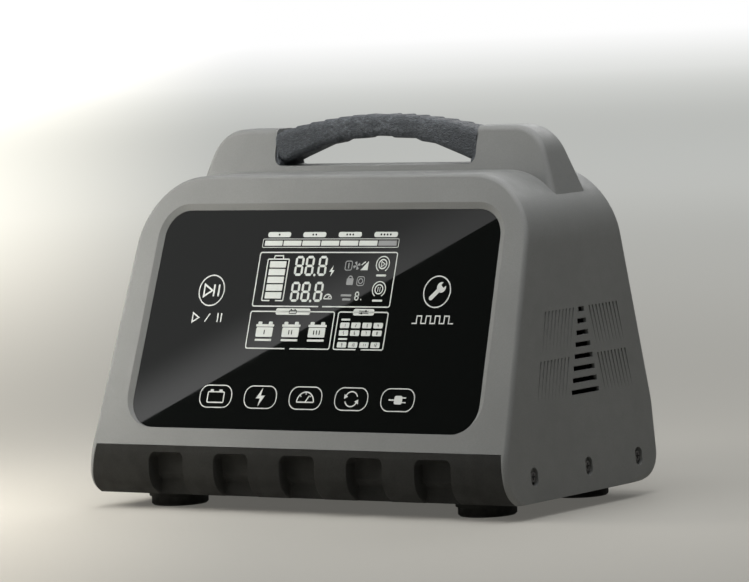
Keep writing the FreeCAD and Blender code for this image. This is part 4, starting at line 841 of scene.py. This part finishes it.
# Place along the grip and height of its underside, in millimetres.
UNDERSIDE = ((0, 251.8), (10.4, 251.4), (12.2, 250.4), (30.5, 249.7), (35.5, 247.6), (46.8, 246.0),
             (49, 245.3), (60, 241.5), (71, 237.7), (80, 234.2), (86, 233.2))
STEP_RISE = 0.9
GRIP_RINGS = 360
SHARP_EDGE = radians(35)


def along_path(path, place):
    """Height of a path of points at a place along it."""
    for (start, low), (end, high) in zip(path, path[1:]):
        if place <= end:
            return low + (high - low) * (place - start) / (end - start)
    return path[-1][1]


def smooth_step(value):
    value = min(1.0, max(0.0, value))
    return value * value * (3 - 2 * value)


def grip_ring(looks, x):
    """Rounded section of the grip at a place along it."""
    reach = abs(x)
    share = reach / looks.step_pitch % 1.0
    rise = looks.step * (share if share < STEP_RISE else (1.0 - share) * STEP_RISE / (1.0 - STEP_RISE))
    top = looks.top - looks.step - reach * reach / (2 * looks.top_sag_radius) + rise
    low = along_path(UNDERSIDE, reach / MM) * MM
    widen = smooth_step((reach - looks.widen_from) / looks.widen_over)
    width = looks.thickness + (looks.end_thickness - looks.thickness) * widen
    outline = round_box((looks.middle, (top + low) / 2), width, top - low, looks.corner, 7)
    return [Vector((x, y, z)) for y, z in outline]


def new_piece(name, mesh, slot, *nodes):
    """Object that rides on the body and stands for CAD nodes in their slot's finish."""
    bmesh.ops.recalc_face_normals(mesh, faces=mesh.faces)
    piece = placed_mesh(name, mesh, frame["nodes"][nodes[0]].material_slots[0].material)
    piece.data.shade_smooth()
    piece.data.set_sharp_from_angle(angle=SHARP_EDGE)
    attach(piece, BODY)
    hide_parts(*nodes)


def opened_copy(node, reach):
    """Loose copy of a node's mesh, with its faces cut at both ends of a span along x."""
    mesh = bmesh.new()
    mesh.from_mesh(frame["nodes"][node].data)
    for side in (-1, 1):
        cut_away(mesh, (side * reach, 0, 0), (1, 0, 0))
    return mesh


def skin(mesh, rings, closed):
    """Faces between neighbouring rows of points."""
    rows = [[mesh.verts.new(point) for point in ring] for ring in rings]
    count = len(rows[0])
    for row, following in zip(rows, rows[1:]):
        for i in range(count if closed else count - 1):
            j = (i + 1) % count
            mesh.faces.new((row[i], row[j], following[j], following[i]))
    if closed:
        mesh.faces.new(rows[0])
        mesh.faces.new(rows[-1])


def cut_away(mesh, place, direction, where=None):
    """Cut a mesh along a plane and drop the faces that where names."""
    everything = mesh.verts[:] + mesh.edges[:] + mesh.faces[:]
    bmesh.ops.bisect_plane(mesh, geom=everything, plane_co=place, plane_no=direction)
    if where:
        faces = [face for face in mesh.faces if where(face.calc_center_median())]
        bmesh.ops.delete(mesh, geom=faces, context="FACES")


# The bumper's skin that is made anew: its ends, back and heights, and its columns and rows of faces.
SKIN_REACH = 148 * MM
SKIN_BACK = -76.5 * MM
SKIN_LOW, SKIN_HIGH = 10.5 * MM, 45.2 * MM
SKIN_COLUMNS, SKIN_ROWS = 740, 90
BETWEEN_NOTCHES = 28.2 * MM


def nose_profile(mesh):
    """Depth and height of points up the bumper's nose, where the tray has no notch."""
    tree = BVHTree.FromBMesh(mesh)
    profile = []
    for i in range(SKIN_ROWS + 1):
        height = SKIN_LOW + (SKIN_HIGH - SKIN_LOW) * i / SKIN_ROWS
        aim = min(max(height, SKIN_LOW + 0.02 * MM), SKIN_HIGH - 0.05 * MM)
        hit = tree.ray_cast(Vector((BETWEEN_NOTCHES, -0.2, aim)), Vector((0, 1, 0)))
        profile.append((hit[0].y, height))
    return profile


def notch_depth(looks, x, y, z):
    """How far the bumper's skin at (x, y, z) lies inwards."""
    row = (x - looks.shift) / looks.pitch
    u = abs(row - min(2, max(-2, round(row)))) * looks.pitch
    v = looks.top - z
    corner, half = looks.corner, looks.width / 2
    if u > half - corner and v < corner:
        inside = corner - hypot(u - half + corner, corner - v)
    else:
        inside = min(half - u, v)
    floor = cad_box[0][1] + looks.floor + looks.under * smooth_step((looks.bend - z) / looks.under_over)
    return smooth_step(inside / looks.wall) * max(0.0, floor - y)


def towards(azimuth, elevation):
    """Direction from the charger, with azimuth 0 at its front."""
    return Vector((sin(azimuth) * cos(elevation), -cos(azimuth) * cos(elevation), sin(elevation)))


def stage_sheet(name, corners, material):
    """One flat face of the stage."""
    mesh = bpy.data.meshes.new(name)
    mesh.from_pydata(corners, [], [range(len(corners))])
    mesh.materials.append(material)
    sheet = placed(name, mesh)


def camera_place(looks):
    return Vector(looks.target) + towards(looks.azimuth, looks.elevation) * looks.distance


WHITE = (1.0, 1.0, 1.0, 1.0)
# Azimuth, elevation, distance and size, then a colour and whether the window mirrors the lamp.
LAMPS = {
    "front": (-20, 62, 0.75, 0.45),
    "left": (-60, 15, 0.6, 0.25, (1.0, 0.97, 0.92), False),
    "right": (75, 65, 0.65, 0.5),
    "rear": (-165, 40, 3.0, 2.0),
    "top": (0, 85, 2.5, 2.0),
}
FLOOR_REACH = 60.0
FLOOR_FADE = 16.0
# The card's corners as the window shows them, and the two ends and the side of its fade.
CARD_CORNERS = ((-0.166, 0.048), (0.150, 0.217), (0.10, 0.42), (-0.42, 0.30), (-0.36, 0.02))
CARD_FADE = ((-0.137, 0.0635), (0.139, 0.2105), (-0.156, 0.0988))
CARD_DISTANCE = 3.0


class CHARGER_OT_stage(Operator):
    """Add the floor, the soft lamps, the glare card and the camera"""

    bl_idname = "charger.stage"
    bl_label = "Stage and camera"

    def execute(self, context):
        looks = looks_of("stage")
        context.scene.view_settings.view_transform = "Standard"
        self.camera(context, looks)
        self.sky(context, looks)
        self.floor(looks)
        for name, values in LAMPS.items():
            self.lamp(name + "_lamp", getattr(looks, name + "_level"), *values)
        self.glare_card(looks)
        return {"FINISHED"}

    def camera(self, context, looks):
        """Camera on its circle round the target, rolled about its own axis."""
        back = towards(looks.azimuth, looks.elevation)
        level = Vector((cos(looks.azimuth), sin(looks.azimuth), 0))
        turn = Matrix((level, back.cross(level), back)).transposed().to_4x4()
        data = bpy.data.cameras.new("camera")
        data.lens = looks.focal
        data.sensor_width = 36.0
        data.clip_start, data.clip_end = 0.1, 200.0
        camera = placed("camera", data)
        camera.matrix_world = (Matrix.Translation(camera_place(looks)) @ turn
                               @ Matrix.Rotation(looks.roll, 4, "Z"))
        context.scene.camera = camera

    def sky(self, context, looks):
        """Soft light, bright overhead and dim near the horizon."""
        world = bpy.data.worlds.new("sky")
        graph = Graph(world)
        height = graph.node("SeparateXYZ", {"Vector": graph.places["Generated"]}).outputs["Z"]
        strength = graph.spread(height, 0.5, 0.95, looks.horizon_level, looks.sky_level)
        light = graph.node("Background", {"Color": WHITE, "Strength": strength})
        graph.node("OutputWorld", {"Surface": light.outputs["Background"]})
        context.scene.world = world

    def floor(self, looks):
        """Pale floor with painted light that brightens its left side, and that turns to plain white far
        away.
        """
        corners = ((-1, -1), (1, -1), (1, 1), (-1, 1))
        stage_sheet("floor", [(u * FLOOR_REACH, v * FLOOR_REACH, 0) for u, v in corners],
                    self.floor_material(looks))

    def floor_material(self, looks):
        finish = Finish("floor_paper", looks.floor_near, 0.8, Specular_IOR_Level=0.1)

        def result(operation, first, second, clamp=False):
            sockets = {0: first, 1: second}
            return finish.node("Math", sockets, operation=operation, use_clamp=clamp).outputs[0]

        behind = finish.along(-towards(looks.azimuth, 0))
        aside = finish.along((cos(looks.azimuth), sin(looks.azimuth), 0))
        fan = result("DIVIDE", aside, result("MAXIMUM", result("ADD", behind, looks.distance), 0.5))
        near, far = looks.floor_near, looks.floor_far
        stops = ((0.0, near), (0.23, far), (0.37, [c * 0.9 for c in far]), (0.48, far),
                 (0.63, (0.73, 0.74, 0.72)), (0.88, WHITE[:3]))
        ramp = finish.node("ValToRGB", {"Fac": result("DIVIDE", behind, FLOOR_FADE)})
        ramp.color_ramp.interpolation = "B_SPLINE"
        for i, (place, tone) in enumerate(stops):
            stop = ramp.color_ramp.elements[i] if i < 2 else ramp.color_ramp.elements.new(place)
            stop.position = place
            stop.color = (*tone, 1.0)
        # Painted light: the floor's colour is made up to 2.4 times brighter towards the left, more so
        # further back.
        painted_light_strength = finish.mix(finish.spread(behind, 0.3, 3.0), (1.5, 1.46, 1.4, 1.0), (2.4, 2.3, 2.15, 1.0))
        painted_left_light = finish.mix(finish.spread(fan, -0.02, -0.1), WHITE, painted_light_strength)
        tone = finish.mix(1.0, ramp.outputs["Color"], painted_left_light, "MULTIPLY")
        finish.feed(finish.shader.inputs["Base Color"], tone)
        path = finish.node("LightPath").outputs
        seen = result("ADD", path["Is Camera Ray"], path["Is Glossy Ray"])
        seen = result("ADD", seen, path["Is Transmission Ray"], clamp=True)
        lift = result("MULTIPLY", finish.spread(behind, 0.3, 4.0, looks.floor_lift, 1.0), seen)
        light = finish.node("Emission", {"Color": tone}).outputs["Emission"]
        mix = finish.node("MixShader", {0: lift, 1: finish.shader.outputs["BSDF"], 2: light})
        finish.feed(finish.output.inputs["Surface"], mix.outputs["Shader"])
        return finish.material

    def lamp(self, name, level, azimuth, elevation, distance, size, tint=WHITE[:3], mirrored=True):
        """Square soft lamp that gives a surface facing it that level of light; angles in degrees."""
        away = towards(radians(azimuth), radians(elevation))
        data = bpy.data.lights.new(name, "AREA")
        data.size = size
        data.color = tint
        data.energy = level * (pi * distance) ** 2
        lamp = placed(name, data)
        lamp.location = (Vector(cad_box[0]) + Vector(cad_box[1])) / 2 + away * distance
        lamp.rotation_euler = (-away).to_track_quat("-Z", "Y").to_euler()
        lamp.visible_camera = False
        lamp.visible_glossy = mirrored

    def glare_card(self, looks):
        """White card that the window mirrors above and left of a slanting line."""
        camera = camera_place(looks)

        def mirrored(u, v):
            spot = WINDOW.point(u, v)
            ray = (spot - camera).normalized()
            return spot + (ray - WINDOW.normal * 2 * ray.dot(WINDOW.normal)) * CARD_DISTANCE

        material = bpy.data.materials.new("card_white")
        graph = Graph(material)
        low, high, off = (mirrored(*place) for place in CARD_FADE)
        along = (high - low) / (high - low).length_squared
        across = (off - low) - along * (off - low).dot(high - low)
        across /= across.length_squared

        def fade(direction, start, end):
            begin = low.dot(direction)
            return graph.spread(graph.along(direction), begin, begin + 1.0, start, end)

        glare = looks.glare_level
        sockets = {0: fade(across, 1.0, 0.0), 1: fade(along, 1.25 * glare, 0.4 * glare), 2: 0.5 * glare}
        bright = graph.node("Math", sockets, operation="MULTIPLY_ADD").outputs[0]
        light = graph.node("Emission", {"Strength": bright}).outputs["Emission"]
        graph.node("OutputMaterial", {"Surface": light})
        stage_sheet("glare_card", [mirrored(*corner) for corner in CARD_CORNERS], material)


class CHARGER_OT_finishes(Operator):
    """Give every node of the charger the finish of its slot"""

    bl_idname = "charger.finishes"
    bl_label = "Node finishes"

    def execute(self, context):
        made = slot_finishes()
        slots = {part["node"]: part["material_slot"] for part in frame["record"]["subparts"]}
        for node, piece in frame["nodes"].items():
            for slot in piece.material_slots:
                slot.material = made[slots[node]]
        return {"FINISHED"}


class CHARGER_OT_grip(Operator):
    """Shape the stepped rubber grip round its bar"""

    bl_idname = "charger.grip"
    bl_label = "Grip"

    def execute(self, context):
        looks = looks_of("grip")
        mesh = opened_copy("handle_grip", looks.lining)
        cut_away(mesh, (0, 0, 0), (1, 0, 0), lambda centre: abs(centre.x) < looks.lining)
        places = [looks.reach * (2 * i / GRIP_RINGS - 1) for i in range(GRIP_RINGS + 1)]
        skin(mesh, [grip_ring(looks, x) for x in places], True)
        new_piece("stepped_grip", mesh, "grip_rubber", "handle_grip")
        return {"FINISHED"}


class CHARGER_OT_bumper(Operator):
    """Shape the base tray's bumper with its five notches"""

    bl_idname = "charger.bumper"
    bl_label = "Bumper"

    def execute(self, context):
        looks = looks_of("notch")
        mesh = opened_copy("base_tray", SKIN_REACH)
        nose = nose_profile(mesh)
        cut_away(mesh, (0, SKIN_BACK, 0), (0, 1, 0),
                 lambda centre: abs(centre.x) < SKIN_REACH and centre.y < SKIN_BACK)
        rings = []
        for i in range(SKIN_COLUMNS + 1):
            x = SKIN_REACH * (2 * i / SKIN_COLUMNS - 1)
            ring = [(SKIN_BACK, SKIN_LOW), *((y + notch_depth(looks, x, y, z), z) for y, z in nose),
                    (SKIN_BACK, SKIN_HIGH)]
            rings.append([Vector((x, y, z)) for y, z in ring])
        skin(mesh, rings, False)
        new_piece("notched_base_tray", mesh, "base_black", "base_tray")
        return {"FINISHED"}


class CHARGER_OT_touch_keys(Operator):
    """Print the outlines and signs of the touch keys on the window"""

    bl_idname = "charger.touch_keys"
    bl_label = "Touch keys"

    def execute(self, context):
        looks = looks_of("window")
        ink = Ink(WINDOW, 0.0, looks.print_shift)
        touch_keys(ink)
        ink.piece("touch_key_print", looks.ink)
        return {"FINISHED"}


class CHARGER_OT_display(Operator):
    """Light the display's frames, readings and chips"""

    bl_idname = "charger.display"
    bl_label = "Lit display"

    def execute(self, context):
        looks = looks_of("window")
        lit, unlit, dark = (Ink(WINDOW, layer * looks.film, looks.print_shift) for layer in (1, 0, 2))
        (reach,) = window_sizes("display_reach")
        status_bar(lit, unlit, reach)
        readings(lit, unlit, reach)
        battery_choice(lit)
        setting_choice(lit, reach)
        cut_signs(dark)
        lit.piece("display_lit_segments", looks.lit)
        unlit.piece("display_unlit_segments", looks.unlit)
        dark.piece("display_open_signs", looks.glass)
        return {"FINISHED"}


class CHARGER_OT_rear_signs(Operator):
    """Print the plain signs on the rear cover"""

    bl_idname = "charger.rear_signs"
    bl_label = "Rear signs"

    def execute(self, context):
        ink = Ink(COVER)
        rear_signs(ink)
        ink.piece("rear_sign_print", looks_of("window").ink, 0.4)
        return {"FINISHED"}


OPERATORS = (CHARGER_OT_stage, CHARGER_OT_finishes, CHARGER_OT_grip, CHARGER_OT_bumper,
             CHARGER_OT_touch_keys, CHARGER_OT_display, CHARGER_OT_rear_signs)


class CHARGER_PT_panel(Panel):
    """Steps that dress the charger"""

    bl_idname = "CHARGER_PT_panel"
    bl_label = "Battery charger"
    bl_space_type = "VIEW_3D"
    bl_region_type = "UI"
    bl_category = "Charger"

    def draw(self, context):
        for operator in OPERATORS:
            self.layout.operator(operator.bl_idname)


SETTINGS = {"charger_housing": HousingLooks, "charger_grip": GripLooks, "charger_notch": NotchLooks,
            "charger_window": WindowLooks, "charger_stage": StageLooks}
CLASSES = (*SETTINGS.values(), *OPERATORS, CHARGER_PT_panel)


def register():
    for part in CLASSES:
        bpy.utils.register_class(part)
    for name, group in SETTINGS.items():
        setattr(bpy.types.Scene, name, PointerProperty(type=group))


def unregister():
    for name in SETTINGS:
        delattr(bpy.types.Scene, name)
    for part in reversed(CLASSES):
        bpy.utils.unregister_class(part)


def main():
    register()
    bpy.ops.charger.stage()
    bpy.ops.charger.finishes()
    bpy.ops.charger.grip()
    bpy.ops.charger.bumper()
    bpy.ops.charger.touch_keys()
    bpy.ops.charger.display()
    bpy.ops.charger.rear_signs()


if __name__ == "__main__":
    main()
